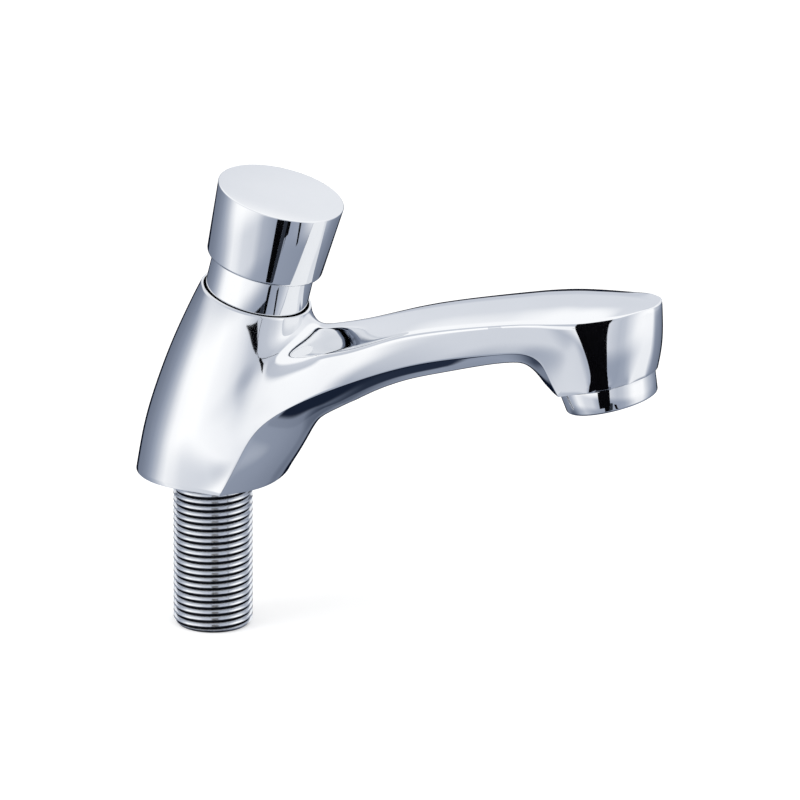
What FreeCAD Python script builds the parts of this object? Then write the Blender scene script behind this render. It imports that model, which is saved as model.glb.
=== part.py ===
import FreeCAD, Part
import os
import re
import Sketcher
from FreeCAD import Placement, Rotation, Vector

# A self-closing basin tap: a leaning pillar with an arched spout cast in one piece,
# a push button on a timed cartridge, an aerator under the spout and a threaded tail.
#
# Frame: the origin lies on the tail's axis in the plane of the deck, +Z is up and +X runs
# along the spout. The part is symmetric about the plane Y = 0.
# Heights named level are measured along the cartridge's axis, which leans from +Z
# towards +X and passes through the origin.

SIZES = {
    # Leaning axis of the cartridge and the travel of its button
    "cartridge_tilt": 13.7,
    "stroke": 6.0,
    "running_clearance": 0.05,
    "slide_clearance": 0.1,

    # Pillar barrel about the leaning axis
    "barrel_foot_level": -7.0,
    "barrel_foot_radius": 19.4,
    "barrel_belly_level": 9.0,
    "barrel_belly_radius": 20.2,
    "barrel_waist_level": 23.2,
    "barrel_waist_radius": 19.6,
    "barrel_shoulder_level": 37.2,
    "barrel_shoulder_radius": 17.5,
    "rim_level": 51.4,
    "rim_radius": 14.9,
    "base_round": 1.2,
    "collar_round": 3.0,

    # Head of the spout: a socket about an upright axis, cut off square to the outlet
    "head_waist_bulge": 0.2,
    "head_foot_radius": 13.7,
    "head_foot_z": 29.0,
    "head_rear_z": 51.0,

    # Outlet axis of the aerator, leaning back towards the pillar as it rises
    "outlet_x": 109.6,
    "outlet_z": 37.4,
    "outlet_tilt": 14.6,

    # Straight waterway through the spout
    "duct_start_x": 14.0,
    "duct_start_z": 27.0,
    "duct_rise": 15.3,
    "duct_length": 93.0,
    "duct_radius": 4.5,

    # Cartridge bore of the body, from the valve cavity up to the rim
    "valve_clearance": 0.6,
    "cavity_radius": 8.0,
    "chamber_radius": 12.8,
    "chamber_height": 10.6,
    "seal_land": 5.0,
    "bonnet_thread_radius": 13.5,
    "rim_bore_radius": 14.3,
    "rim_depth": 4.4,

    # Inlet: socket for the tail and the passage above it
    "socket_depth": 8.0,
    "tail_seal_thickness": 1.0,
    "inlet_passage_radius": 8.0,
    "inlet_passage_top": 14.0,

    # Threaded tail
    "shank_radius": 10.7,
    "tail_radius": 10.4775,
    "tail_length": 43.1,
    "tail_spigot_radius": 10.3,
    "tail_bore_radius": 6.75,
    "tail_chamfer": 1.2,
    "tail_plain_length": 2.0,
    "thread_pitch": 1.814,
    "thread_depth": 1.1,
    "thread_crest_share": 0.13,
    "strainer_seat_z": -2.0,
    "strainer_radius": 8.0,
    "strainer_thickness": 1.0,
    "strainer_hole_radius": 0.8,
    "strainer_inner_ring": 2.6,
    "strainer_outer_ring": 5.1,

    # Deck seal let into the underside of the body
    "deck_seal_inner": 13.4,
    "deck_seal_outer": 17.0,
    "deck_seal_thickness": 2.0,

    # Valve seat and cartridge housing
    "seat_level": 22.0,
    "seat_hole_radius": 4.2,
    "seat_lip_height": 0.6,
    "seat_lip_width": 0.8,
    "seat_height": 3.0,
    "seat_radius": 9.6,
    "seat_gasket_thickness": 0.8,
    "seat_gasket_inner": 6.4,
    "housing_skirt": 1.0,
    "housing_length": 28.0,
    "housing_radius": 12.0,
    "housing_waist_radius": 11.0,
    "housing_bore_radius": 9.0,
    "housing_port_radius": 2.2,
    "housing_port_level": 29.6,
    "seal_groove_depth": 1.4,
    "seal_groove_height": 1.9,
    "seal_groove_offset": 1.5,
    "seal_section_radius": 0.68,
    "bonnet_gasket_thickness": 1.0,

    # Cartridge head with the gland of the spindle
    "gland_flange": 2.0,
    "gland_plug_depth": 5.0,
    "gland_boss_radius": 5.0,
    "gland_boss_height": 5.0,
    "gland_ring_radius": 4.2,
    "gland_ring_pitch": 3.2,
    "gland_ring_offset": 3.3,

    # Neck sleeve that screws the cartridge down
    "neck_radius": 13.85,
    "neck_bore_radius": 10.2,
    "neck_height": 16.6,
    "neck_chamfer": 0.5,

    # Push button
    "button_pressed_gap": 3.3,
    "button_height": 20.2,
    "button_foot_radius": 15.5,
    "button_top_radius": 16.8,
    "button_bore_radius": 14.3,
    "button_top_wall": 2.5,
    "button_foot_round": 0.9,
    "button_top_round": 0.5,
    "button_insert_radius": 7.5,
    "button_insert_height": 3.9,

    # Spindle with the piston and the valve that it carries
    "spindle_radius": 3.0,
    "spindle_waist_radius": 2.6,
    "spindle_tip_radius": 2.0,
    "spindle_overhang": 0.8,
    "piston_height": 4.8,
    "piston_headroom": 0.4,
    "piston_body_radius": 7.4,
    "piston_flange": 1.2,
    "cup_heel_radius": 8.15,
    "cup_heel_height": 0.9,
    "cup_lip_height": 2.4,
    "cup_tip_height": 3.0,
    "clip_thickness": 0.8,
    "clip_radius": 4.2,
    "clip_gap_angle": 50.0,
    "clip_groove_depth": 0.5,
    "washer_radius": 6.0,
    "washer_thickness": 2.6,
    "holder_radius": 6.6,
    "holder_rim": 2.2,
    "holder_floor": 2.0,
    "nut_radius": 3.8,
    "nut_height": 2.3,

    # Return spring between the gland and the button insert
    "spring_radius": 6.8,
    "spring_wire_radius": 0.6,
    "spring_turns": 7.0,

    # Aerator
    "aerator_ring_height": 6.8,
    "aerator_ring_radius": 13.1,
    "aerator_foot_radius": 12.3,
    "aerator_foot_round": 0.6,
    "aerator_thread_radius": 11.9,
    "aerator_spigot": 8.0,
    "aerator_bore_radius": 10.3,
    "aerator_mouth_radius": 9.4,
    "aerator_lip": 1.0,
    "aerator_gasket_thickness": 1.5,
    "aerator_gasket_inner": 9.2,
    "outlet_chamber_radius": 9.0,
    "outlet_chamber_height": 3.6,
    "straightener_height": 3.0,
    "straightener_hole_radius": 0.9,
    "screen_thickness": 0.6,
    "screen_spacing": 1.6,
    "screen_hole_radius": 0.7,
    "diffuser_thickness": 1.6,
    "diffuser_hole_radius": 0.8,
    "diffuser_ring_radius": 7.2,
    "inner_hole_ring": 3.4,
    "middle_hole_ring": 5.9,
    "outer_hole_ring": 8.2,
}

# Cross-sections of the chin between base and spout, bottom to top: height, the sharp
# side edge (x, y), the foremost point (x) and the flank that meets the barrel (x, y)
CHIN_SECTIONS = [
    (0.0, 9.3, 21.7, 21.0, -3.2, 19.5),
    (8.0, 13.3, 20.8, 25.0, 0.8, 20.0),
    (16.3, 17.6, 19.3, 29.4, 4.9, 19.7),
    (31.0, 24.0, 14.4, 38.0, 12.8, 17.5),
]
CHIN_NAMES = ("height", "crease_x", "crease_y", "apex_x", "flank_x", "flank_y")

# Cross-sections of the spout, root to head: station (x), crown (z), upper edge (y, z),
# lower crease (y, z) and keel (z)
SPOUT_SECTIONS = [
    (18.0, 37.2, 12.6, 35.4, 18.4, 18.0, 9.0),
    (29.3, 40.8, 12.8, 38.7, 15.7, 26.3, 16.3),
    (42.7, 44.6, 12.9, 42.3, 13.9, 32.7, 25.6),
    (58.0, 49.5, 13.1, 46.7, 13.2, 38.8, 32.5),
    (76.0, 54.1, 13.6, 51.4, 13.2, 43.6, 37.4),
    (92.0, 57.4, 14.3, 54.7, 13.8, 46.2, 39.8),
    (109.2, 59.4, 15.0, 56.9, 14.75, 46.0, 41.0),
]
SPOUT_NAMES = ("station", "crown", "edge_y", "edge_z", "crease_y", "crease_z", "keel")
SPOUT_SIDE_BULGE = 0.35


def section_sizes(prefix, names, rows):
    """Named values of a row of cross-sections, such as chin_1_height."""
    return {
        "%s_%d_%s" % (prefix, number + 1, name): value
        for number, row in enumerate(rows)
        for name, value in zip(names, row)
    }


SIZES.update(section_sizes("chin", CHIN_NAMES, CHIN_SECTIONS))
SIZES.update(section_sizes("spout", SPOUT_NAMES, SPOUT_SECTIONS))
SIZES["spout_side_bulge"] = SPOUT_SIDE_BULGE

# The last cross-section of the spout is also half of the head
HEAD = "spout_%d_" % len(SPOUT_SECTIONS)

# Numbers of holes, from the inner ring outward
STRAINER_HOLES = (6, 12)
PLATE_HOLES = (8, 14, 20)
DIFFUSER_HOLES = 12

# How far the middle of a quarter round lies inside its corner, as a share of its radius
ROUNDING = "(1 - sqrt(2) / 2)"

# Levels along the leaning axis, worked out from the sizes
HOUSING_FOOT = "(seat_level - housing_skirt)"
CHAMBER_FLOOR = "(seat_level - housing_skirt + seal_land)"
CHAMBER_TOP = "(seat_level - housing_skirt + seal_land + chamber_height)"
BONNET_FOOT = "(seat_level - housing_skirt + seal_land + chamber_height + bonnet_gasket_thickness)"
SEAT_FOOT = "(seat_level + seat_lip_height)"
SEAT_TOP = "(seat_level + seat_lip_height + seat_height)"
SEAT_LEDGE = "(seat_level + seat_lip_height + seat_height + seat_gasket_thickness)"
HOUSING_TOP = "(seat_level - housing_skirt + housing_length)"
GLAND_TOP = "(seat_level - housing_skirt + housing_length + gland_flange)"
GLAND_RING = "(%s - gland_plug_depth + gland_ring_offset)" % HOUSING_TOP
PISTON_TOP = "(seat_level - housing_skirt + housing_length - gland_plug_depth - piston_headroom)"
PISTON_FOOT = "(%s - piston_height)" % PISTON_TOP
RIM_STEP = "(rim_level - rim_depth)"
NECK_TOP = "(rim_level + neck_height)"
BUTTON_FOOT = "(rim_level + button_pressed_gap + stroke)"
BUTTON_TOP = "(rim_level + button_pressed_gap + stroke + button_height)"
BUTTON_CEILING = "(rim_level + button_pressed_gap + stroke + button_height - button_top_wall)"
INSERT_FOOT = "(%s - button_insert_height)" % BUTTON_CEILING
WASHER_FOOT = "(seat_level - washer_thickness)"
HOLDER_FOOT = "(seat_level - washer_thickness - holder_floor)"
NUT_FOOT = "(seat_level - washer_thickness - holder_floor - nut_height)"
CAVITY_FLOOR = "(seat_level - washer_thickness - holder_floor - stroke - valve_clearance)"

# Levels of the aerator along the outlet's axis, upward from the underside of the head
OUTLET_LEDGE = "(aerator_spigot + aerator_gasket_thickness)"
RING_FOOT = "(-aerator_ring_height)"
STRAIGHTENER_FOOT = "(-aerator_ring_height + aerator_lip)"
STRAIGHTENER_TOP = "(-aerator_ring_height + aerator_lip + straightener_height)"
DIFFUSER_FOOT = "(aerator_spigot - diffuser_thickness)"

doc = FreeCAD.newDocument("BasinTap")
sheet = doc.addObject("Spreadsheet::Sheet", "Sizes")
for row, (size_name, size_value) in enumerate(SIZES.items(), start=1):
    sheet.set("A%d" % row, size_name)
    sheet.set("B%d" % row, str(size_value))
    sheet.setAlias("B%d" % row, size_name)
doc.recompute()

NODES = []


def bound(text):
    """The expression with each size's name pointing at its cell."""
    return re.sub(r"[a-z_][a-z0-9_]*", lambda word: cell(word.group()), str(text))


def cell(word):
    return "Sizes." + word if word in SIZES else word


def new_body(name, tilted=False, at_outlet=False):
    """An empty body, standing upright, on the leaning axis or on the outlet's axis."""
    body = doc.addObject("PartDesign::Body", name)
    body.Label = name
    if tilted:
        body.Placement = Placement(Vector(), Rotation(Vector(0, 1, 0), 1))
        body.setExpression("Placement.Rotation.Angle", bound("cartridge_tilt"))
    if at_outlet:
        body.Placement = Placement(Vector(), Rotation(Vector(0, -1, 0), 1))
        body.setExpression("Placement.Base.x", bound("outlet_x"))
        body.setExpression("Placement.Base.z", bound("outlet_z"))
        body.setExpression("Placement.Rotation.Angle", bound("outlet_tilt"))
    NODES.append(body)
    return body


def new_sketch(body, name, plane_role="XZ_Plane", shift=("0", "0", "0"), turn="0"):
    """A sketch on one of the body's own planes, shifted and turned within that plane."""
    sketch = body.newObject("Sketcher::SketchObject", body.Label + "_" + name)
    plane = [feature for feature in body.Origin.OriginFeatures if feature.Role == plane_role][0]
    sketch.AttachmentSupport = [(plane, "")]
    sketch.MapMode = "FlatFace"
    sketch.AttachmentOffset = Placement(Vector(), Rotation(Vector(0, 0, 1), 1))
    for letter, distance in zip("xyz", shift):
        sketch.setExpression("AttachmentOffset.Base." + letter, bound(distance))
    sketch.setExpression("AttachmentOffset.Rotation.Angle", bound(turn))
    return sketch


def place_points(sketch, places):
    """Construction points whose two coordinates are bound to sizes, and their positions."""
    numbers = []
    for x_text, y_text in places:
        point = sketch.addGeometry(Part.Point(Vector(1, 1, 0)), True)
        for kind, text in (("DistanceX", x_text), ("DistanceY", y_text)):
            datum = sketch.addConstraint(Sketcher.Constraint(kind, -1, 1, point, 1, 1.0))
            sketch.setExpression("Constraints[%d]" % datum, bound(text))
        numbers.append(point)
    sketch.recompute()
    return numbers, [sketch.getPoint(number, 1) for number in numbers]


def join(sketch, edge, points, places):
    """Tie both ends of an edge to the construction points that they lie on."""
    for end in (1, 2):
        where = sketch.getPoint(edge, end)
        nearest = min(range(len(points)), key=lambda index: (places[index] - where).Length)
        sketch.addConstraint(Sketcher.Constraint("Coincident", edge, end, points[nearest], 1))


def outline(sketch, places):
    """A closed outline of lines; a place marked "arc" is a middle point of an arc."""
    numbers, positions = place_points(sketch, [place[:2] for place in places])
    is_middle = [len(place) > 2 for place in places]
    count = len(places)
    index = 0
    while index < count:
        following = (index + 1) % count
        ends = [numbers[index], numbers[following]]
        spots = [positions[index], positions[following]]
        if is_middle[following]:
            after = (index + 2) % count
            edge = sketch.addGeometry(Part.Arc(spots[0], spots[1], positions[after]), False)
            join(sketch, edge, [ends[0], numbers[after]], [spots[0], positions[after]])
            sketch.addConstraint(Sketcher.Constraint("PointOnObject", ends[1], 1, edge))
            index += 2
        else:
            edge = sketch.addGeometry(Part.LineSegment(spots[0], spots[1]), False)
            join(sketch, edge, ends, spots)
            index += 1
    return sketch


def circle(sketch, x_text, y_text, radius_text):
    """A circle whose centre and radius are bound to sizes."""
    numbers, positions = place_points(sketch, [(x_text, y_text)])
    edge = sketch.addGeometry(Part.Circle(positions[0], Vector(0, 0, 1), 1.0), False)
    sketch.addConstraint(Sketcher.Constraint("Coincident", edge, 3, numbers[0], 1))
    datum = sketch.addConstraint(Sketcher.Constraint("Radius", edge, 1.0))
    sketch.setExpression("Constraints[%d]" % datum, bound(radius_text))
    return sketch


def revolve(body, sketch, kind="PartDesign::Revolution", angle="360", backwards=False):
    """Turn a sketch about its own upright axis, to add or to remove material."""
    feature = body.newObject(kind, sketch.Name + "_turned")
    feature.Profile = sketch
    feature.ReferenceAxis = (sketch, ["V_Axis"])
    feature.setExpression("Angle", bound(angle))
    feature.Reversed = backwards
    sketch.Visibility = False
    doc.recompute()
    return feature


def groove(body, sketch):
    return revolve(body, sketch, kind="PartDesign::Groove")


def cut_through(body, sketch):
    """Cut a sketch's outline right through, both ways from its plane."""
    feature = body.newObject("PartDesign::Pocket", sketch.Name + "_cut")
    feature.Profile = sketch
    feature.Type = "ThroughAll"
    feature.Midplane = True
    doc.recompute()
    return feature


def drill_ring(body, name, hole_radius, ring_radius, count):
    """A ring of equal holes along the body's own axis."""
    hole = cut_through(body, circle(new_sketch(body, name, "XY_Plane"), ring_radius, "0", hole_radius))
    ring = body.newObject("PartDesign::PolarPattern", body.Label + "_" + name + "_ring")
    ring.Originals = [hole]
    ring.Axis = (hole.Profile[0], ["N_Axis"])
    ring.Angle = 360
    ring.Occurrences = count
    body.Tip = ring
    doc.recompute()
    return ring


def turned(name, places, tilted=False, at_outlet=False):
    """A turned piece: its half outline, in radius and height, about the body's axis."""
    body = new_body(name, tilted, at_outlet)
    revolve(body, outline(new_sketch(body, "outline"), places))
    return body


def ring_outline(inner, outer, foot, top):
    """Half outline of a plain ring."""
    return [(inner, foot), (outer, foot), (outer, top), (inner, top)]


def disc_outline(outer, foot, top):
    return ring_outline("0", outer, foot, top)


def torus(name, radius, section, level, extra_levels=()):
    """One or more equal sealing rings of round section about the leaning axis."""
    body = new_body(name, tilted=True)
    sketch = circle(new_sketch(body, "section"), radius, level, section)
    for extra in extra_levels:
        circle(sketch, radius, extra, section)
    revolve(body, sketch)
    return body


def build_tap_body():
    """Pillar, chin, spout and head in one casting, with its bores and seats."""
    body = new_body("tap_body")
    add_pillar(body)
    add_chin(body)
    add_spout(body)
    add_head(body)
    trim_underside(body)
    round_edges(body)
    cut_cartridge_bore(body)
    cut_inlet(body)
    cut_waterway(body)
    return body


def add_pillar(body):
    barrel = [
        ("0", "barrel_foot_level"),
        ("barrel_foot_radius", "barrel_foot_level"),
        ("barrel_belly_radius", "barrel_belly_level", "arc"),
        ("barrel_waist_radius", "barrel_waist_level"),
        ("barrel_shoulder_radius", "barrel_shoulder_level", "arc"),
        ("rim_radius", "rim_level"),
        ("0", "rim_level"),
    ]
    revolve(body, outline(new_sketch(body, "barrel", turn="-cartridge_tilt"), barrel))


def add_chin(body):
    sections = []
    for number in range(1, len(CHIN_SECTIONS) + 1):
        size = "chin_%d_" % number
        sketch = new_sketch(body, "chin_%d" % number, "XY_Plane", ("0", "0", size + "height"))
        sections.append(outline(sketch, [
            (size + "flank_x", size + "flank_y"),
            (size + "flank_x", "-" + size + "flank_y"),
            (size + "crease_x", "-" + size + "crease_y"),
            (size + "apex_x", "0", "arc"),
            (size + "crease_x", size + "crease_y"),
        ]))
    loft(body, "chin", sections)


def add_spout(body):
    sections = []
    for number in range(1, len(SPOUT_SECTIONS) + 1):
        size = "spout_%d_" % number
        side_y = "((%sedge_y + %screase_y) / 2 + spout_side_bulge)" % (size, size)
        side_z = "(%sedge_z + %screase_z) / 2" % (size, size)
        sketch = new_sketch(body, "spout_%d" % number, "YZ_Plane", ("0", "0", size + "station"))
        sections.append(outline(sketch, [
            ("-" + size + "edge_y", size + "edge_z"),
            ("0", size + "crown", "arc"),
            (size + "edge_y", size + "edge_z"),
            (side_y, side_z, "arc"),
            (size + "crease_y", size + "crease_z"),
            ("0", size + "keel", "arc"),
            ("-" + size + "crease_y", size + "crease_z"),
            ("-" + side_y, side_z, "arc"),
        ]))
    loft(body, "spout", sections)


def loft(body, name, sections):
    feature = body.newObject("PartDesign::AdditiveLoft", name + "_loft")
    feature.Profile = sections[0]
    feature.Sections = sections[1:]
    feature.Ruled = False
    doc.recompute()
    return feature


def add_head(body):
    edge_y, edge_z, crown = HEAD + "edge_y", HEAD + "edge_z", HEAD + "crown"
    waist_y, waist_z = HEAD + "crease_y", HEAD + "crease_z"
    rise = "(%s - %s)" % (crown, edge_z)
    crown_radius = "((%s ^ 2 + %s ^ 2) / (2 * %s))" % (edge_y, rise, rise)
    crown_drop = "(%s - sqrt(%s ^ 2 - (%s / 2) ^ 2))" % (crown_radius, crown_radius, edge_y)
    lower_side = [
        ("0", "head_foot_z"),
        ("head_foot_radius", "head_foot_z"),
        ("(head_foot_radius + %s) / 2 + head_waist_bulge" % waist_y,
         "(head_foot_z + %s) / 2" % waist_z, "arc"),
        (waist_y, waist_z),
    ]
    front = lower_side + [
        ("(%s + %s) / 2 + spout_side_bulge" % (edge_y, waist_y), "(%s + %s) / 2" % (edge_z, waist_z), "arc"),
        (edge_y, edge_z),
        ("%s / 2" % edge_y, "%s - %s" % (crown, crown_drop), "arc"),
        ("0", crown),
    ]
    rear = lower_side + [(waist_y, "head_rear_z"), ("0", "head_rear_z")]
    stand = ("0", "0", HEAD + "station")
    front_sketch = outline(new_sketch(body, "head_front", "YZ_Plane", stand), front)
    rear_sketch = outline(new_sketch(body, "head_rear", "YZ_Plane", stand), rear)
    revolve(body, front_sketch, angle="180", backwards=True)
    revolve(body, rear_sketch, angle="180")


def trim_underside(body):
    """Cut the head square to the outlet and the pillar flat at the deck."""
    below_head = new_sketch(body, "below_head", shift=("outlet_x", "outlet_z", "0"), turn="outlet_tilt")
    cut_through(body, outline(below_head, ring_outline(
        "-2 * head_foot_radius", "2 * head_foot_radius", "-head_foot_radius", "0")))
    below_deck = new_sketch(body, "below_deck")
    cut_through(body, outline(below_deck, ring_outline(
        "-2 * barrel_belly_radius", "2 * barrel_belly_radius", "-barrel_belly_radius", "0")))


def round_edges(body):
    """Round the foot of the body and the hollow where the spout leaves the collar."""
    root, arch = SIZES["spout_1_station"], SIZES["spout_2_station"]
    root_z, rim_z = SIZES["spout_1_edge_z"], SIZES["rim_level"]
    fillet(body, "base_round", lambda box: abs(box.ZMin) + abs(box.ZMax) < 0.01)
    fillet(body, "collar_round", lambda box: (
        box.XMin > root and box.XMax < arch and root_z < box.ZMin and box.ZMax < rim_z
        and box.XLength > 1.0 and box.YLength > 1.0))


def fillet(body, size, wanted):
    """Round those edges of the body whose bounding box passes the test."""
    base = body.Tip
    feature = body.newObject("PartDesign::Fillet", "tap_body_" + size)
    names = ["Edge%d" % (index + 1) for index, edge in enumerate(base.Shape.Edges)
             if wanted(edge.BoundBox)]
    feature.Base = (base, names)
    feature.setExpression("Radius", bound(size))
    doc.recompute()
    return feature


def cut_cartridge_bore(body):
    bore = [
        ("0", CAVITY_FLOOR),
        ("cavity_radius", CAVITY_FLOOR),
        ("cavity_radius", HOUSING_FOOT),
        ("housing_radius + running_clearance", HOUSING_FOOT),
        ("housing_radius + running_clearance", CHAMBER_FLOOR),
        ("chamber_radius", CHAMBER_FLOOR),
        ("chamber_radius", CHAMBER_TOP),
        ("bonnet_thread_radius + running_clearance", CHAMBER_TOP),
        ("bonnet_thread_radius + running_clearance", RIM_STEP),
        ("rim_bore_radius", RIM_STEP),
        ("rim_bore_radius", "rim_level + rim_depth"),
        ("0", "rim_level + rim_depth"),
    ]
    groove(body, outline(new_sketch(body, "cartridge_bore", turn="-cartridge_tilt"), bore))


def cut_inlet(body):
    inlet = [
        ("0", "-socket_depth"),
        ("tail_spigot_radius + running_clearance", "-socket_depth"),
        ("tail_spigot_radius + running_clearance", "socket_depth"),
        ("inlet_passage_radius", "socket_depth"),
        ("inlet_passage_radius", "inlet_passage_top"),
        ("0", "inlet_passage_top"),
    ]
    groove(body, outline(new_sketch(body, "inlet"), inlet))
    recess = ring_outline("deck_seal_inner", "deck_seal_outer", "-deck_seal_thickness", "deck_seal_thickness")
    groove(body, outline(new_sketch(body, "deck_recess"), recess))


def cut_waterway(body):
    duct = new_sketch(body, "duct", shift=("duct_start_x", "duct_start_z", "0"), turn="duct_rise - 90")
    groove(body, outline(duct, disc_outline("duct_radius", "0", "duct_length")))
    socket = [
        ("0", "-aerator_spigot"),
        ("aerator_thread_radius + running_clearance", "-aerator_spigot"),
        ("aerator_thread_radius + running_clearance", OUTLET_LEDGE),
        ("outlet_chamber_radius", OUTLET_LEDGE),
        ("outlet_chamber_radius", OUTLET_LEDGE + " + outlet_chamber_height"),
        ("0", OUTLET_LEDGE + " + outlet_chamber_height"),
    ]
    outlet = new_sketch(body, "outlet", shift=("outlet_x", "outlet_z", "0"), turn="outlet_tilt")
    groove(body, outline(outlet, socket))


def build_tail():
    """Threaded tail with its strainer and the seals at its top and under the body."""
    tail_top = "(socket_depth - tail_seal_thickness)"
    body = turned("tail_shank", [
        ("tail_bore_radius", "-tail_length"),
        ("tail_radius - tail_chamfer", "-tail_length"),
        ("tail_radius", "-tail_length + tail_chamfer"),
        ("tail_radius", "-tail_plain_length"),
        ("shank_radius", "-tail_plain_length"),
        ("shank_radius", "0"),
        ("tail_spigot_radius", "0"),
        ("tail_spigot_radius", tail_top),
        ("strainer_radius", tail_top),
        ("strainer_radius", "strainer_seat_z"),
        ("tail_bore_radius", "strainer_seat_z"),
    ])
    cut_thread(body)
    strainer = turned("inlet_strainer", disc_outline(
        "strainer_radius - running_clearance", "strainer_seat_z", "strainer_seat_z + strainer_thickness"))
    centre = circle(new_sketch(strainer, "centre", "XY_Plane"), "0", "0", "strainer_hole_radius")
    cut_through(strainer, centre)
    for ring, count in zip(("inner", "outer"), STRAINER_HOLES):
        drill_ring(strainer, ring, "strainer_hole_radius", "strainer_%s_ring" % ring, count)
    turned("tail_seal", ring_outline(
        "strainer_radius", "tail_spigot_radius", tail_top, "socket_depth"))
    turned("deck_seal", ring_outline(
        "deck_seal_inner", "deck_seal_outer", "0", "deck_seal_thickness"))


def cut_thread(body):
    """One unbroken pipe-thread groove, running out under the plain shank."""
    pitch = "thread_pitch"
    start = "(-tail_length - thread_pitch)"
    groove_sketch = outline(new_sketch(body, "thread"), [
        ("tail_radius + thread_pitch / 6", "%s - (0.5 - thread_crest_share / 2) * %s" % (start, pitch)),
        ("tail_radius + thread_pitch / 6", "%s + (0.5 - thread_crest_share / 2) * %s" % (start, pitch)),
        ("tail_radius - thread_depth", "%s + thread_crest_share / 2 * %s" % (start, pitch)),
        ("tail_radius - thread_depth", "%s - thread_crest_share / 2 * %s" % (start, pitch)),
    ])
    helix = body.newObject("PartDesign::SubtractiveHelix", "tail_thread")
    helix.Profile = groove_sketch
    helix.ReferenceAxis = (groove_sketch, ["V_Axis"])
    helix.Mode = 0
    helix.setExpression("Pitch", bound("thread_pitch"))
    helix.setExpression("Height", bound("tail_length + thread_pitch / 2 - tail_plain_length"))
    doc.recompute()


def build_cartridge():
    """The pieces of the cartridge that stay still."""
    housing = turned("cartridge_housing", [
        ("seat_radius + running_clearance", HOUSING_FOOT),
        ("housing_radius", HOUSING_FOOT),
        ("housing_radius", HOUSING_FOOT + " + seal_groove_offset"),
        ("housing_radius - seal_groove_depth", HOUSING_FOOT + " + seal_groove_offset"),
        ("housing_radius - seal_groove_depth",
         HOUSING_FOOT + " + seal_groove_offset + seal_groove_height"),
        ("housing_radius", HOUSING_FOOT + " + seal_groove_offset + seal_groove_height"),
        ("housing_radius", CHAMBER_FLOOR),
        ("housing_waist_radius", CHAMBER_FLOOR),
        ("housing_waist_radius", BONNET_FOOT),
        ("housing_radius", BONNET_FOOT),
        ("housing_radius", HOUSING_TOP),
        ("housing_bore_radius", HOUSING_TOP),
        ("housing_bore_radius", SEAT_LEDGE),
        ("seat_radius + running_clearance", SEAT_LEDGE),
    ], tilted=True)
    for side in ("XZ_Plane", "YZ_Plane"):
        ports = new_sketch(housing, "ports_" + side[:2], side)
        cut_through(housing, circle(ports, "0", "housing_port_level", "housing_port_radius"))

    seal_level = HOUSING_FOOT + " + seal_groove_offset + seal_groove_height / 2"
    torus("housing_seal", "housing_radius - seal_section_radius", "seal_section_radius", seal_level)

    turned("valve_seat", [
        ("seat_hole_radius", "seat_level"),
        ("seat_hole_radius + seat_lip_width", "seat_level"),
        ("seat_hole_radius + seat_lip_width", SEAT_FOOT),
        ("seat_radius", SEAT_FOOT),
        ("seat_radius", SEAT_TOP),
        ("seat_hole_radius", SEAT_TOP),
    ], tilted=True)
    turned("seat_gasket", ring_outline(
        "seat_gasket_inner", "seat_radius", SEAT_TOP, SEAT_LEDGE), tilted=True)

    ring_bore = "spindle_radius + running_clearance"
    low_ring = "(%s - seal_groove_height / 2)" % GLAND_RING
    high_ring = "(%s + gland_ring_pitch - seal_groove_height / 2)" % GLAND_RING
    turned("cartridge_gland", [
        (ring_bore, HOUSING_TOP + " - gland_plug_depth"),
        ("housing_bore_radius - running_clearance", HOUSING_TOP + " - gland_plug_depth"),
        ("housing_bore_radius - running_clearance", HOUSING_TOP),
        ("housing_radius", HOUSING_TOP),
        ("housing_radius", GLAND_TOP),
        ("gland_boss_radius", GLAND_TOP),
        ("gland_boss_radius", GLAND_TOP + " + gland_boss_height"),
        (ring_bore, GLAND_TOP + " + gland_boss_height"),
        (ring_bore, high_ring + " + seal_groove_height"),
        ("gland_ring_radius", high_ring + " + seal_groove_height"),
        ("gland_ring_radius", high_ring),
        (ring_bore, high_ring),
        (ring_bore, low_ring + " + seal_groove_height"),
        ("gland_ring_radius", low_ring + " + seal_groove_height"),
        ("gland_ring_radius", low_ring),
        (ring_bore, low_ring),
    ], tilted=True)
    section = "(gland_ring_radius - spindle_radius - running_clearance) / 2"
    middle = "(gland_ring_radius + spindle_radius + running_clearance) / 2"
    torus("spindle_seals", middle, section, GLAND_RING, [GLAND_RING + " + gland_ring_pitch"])

    turned("neck_sleeve", [
        ("housing_radius + running_clearance", BONNET_FOOT),
        ("bonnet_thread_radius", BONNET_FOOT),
        ("bonnet_thread_radius", RIM_STEP),
        ("neck_radius", RIM_STEP),
        ("neck_radius", NECK_TOP + " - neck_chamfer"),
        ("neck_radius - neck_chamfer", NECK_TOP),
        ("neck_bore_radius", NECK_TOP),
        ("neck_bore_radius", GLAND_TOP),
        ("housing_radius + running_clearance", GLAND_TOP),
    ], tilted=True)
    turned("bonnet_gasket", ring_outline(
        "housing_radius", "bonnet_thread_radius", CHAMBER_TOP, BONNET_FOOT), tilted=True)


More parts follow.
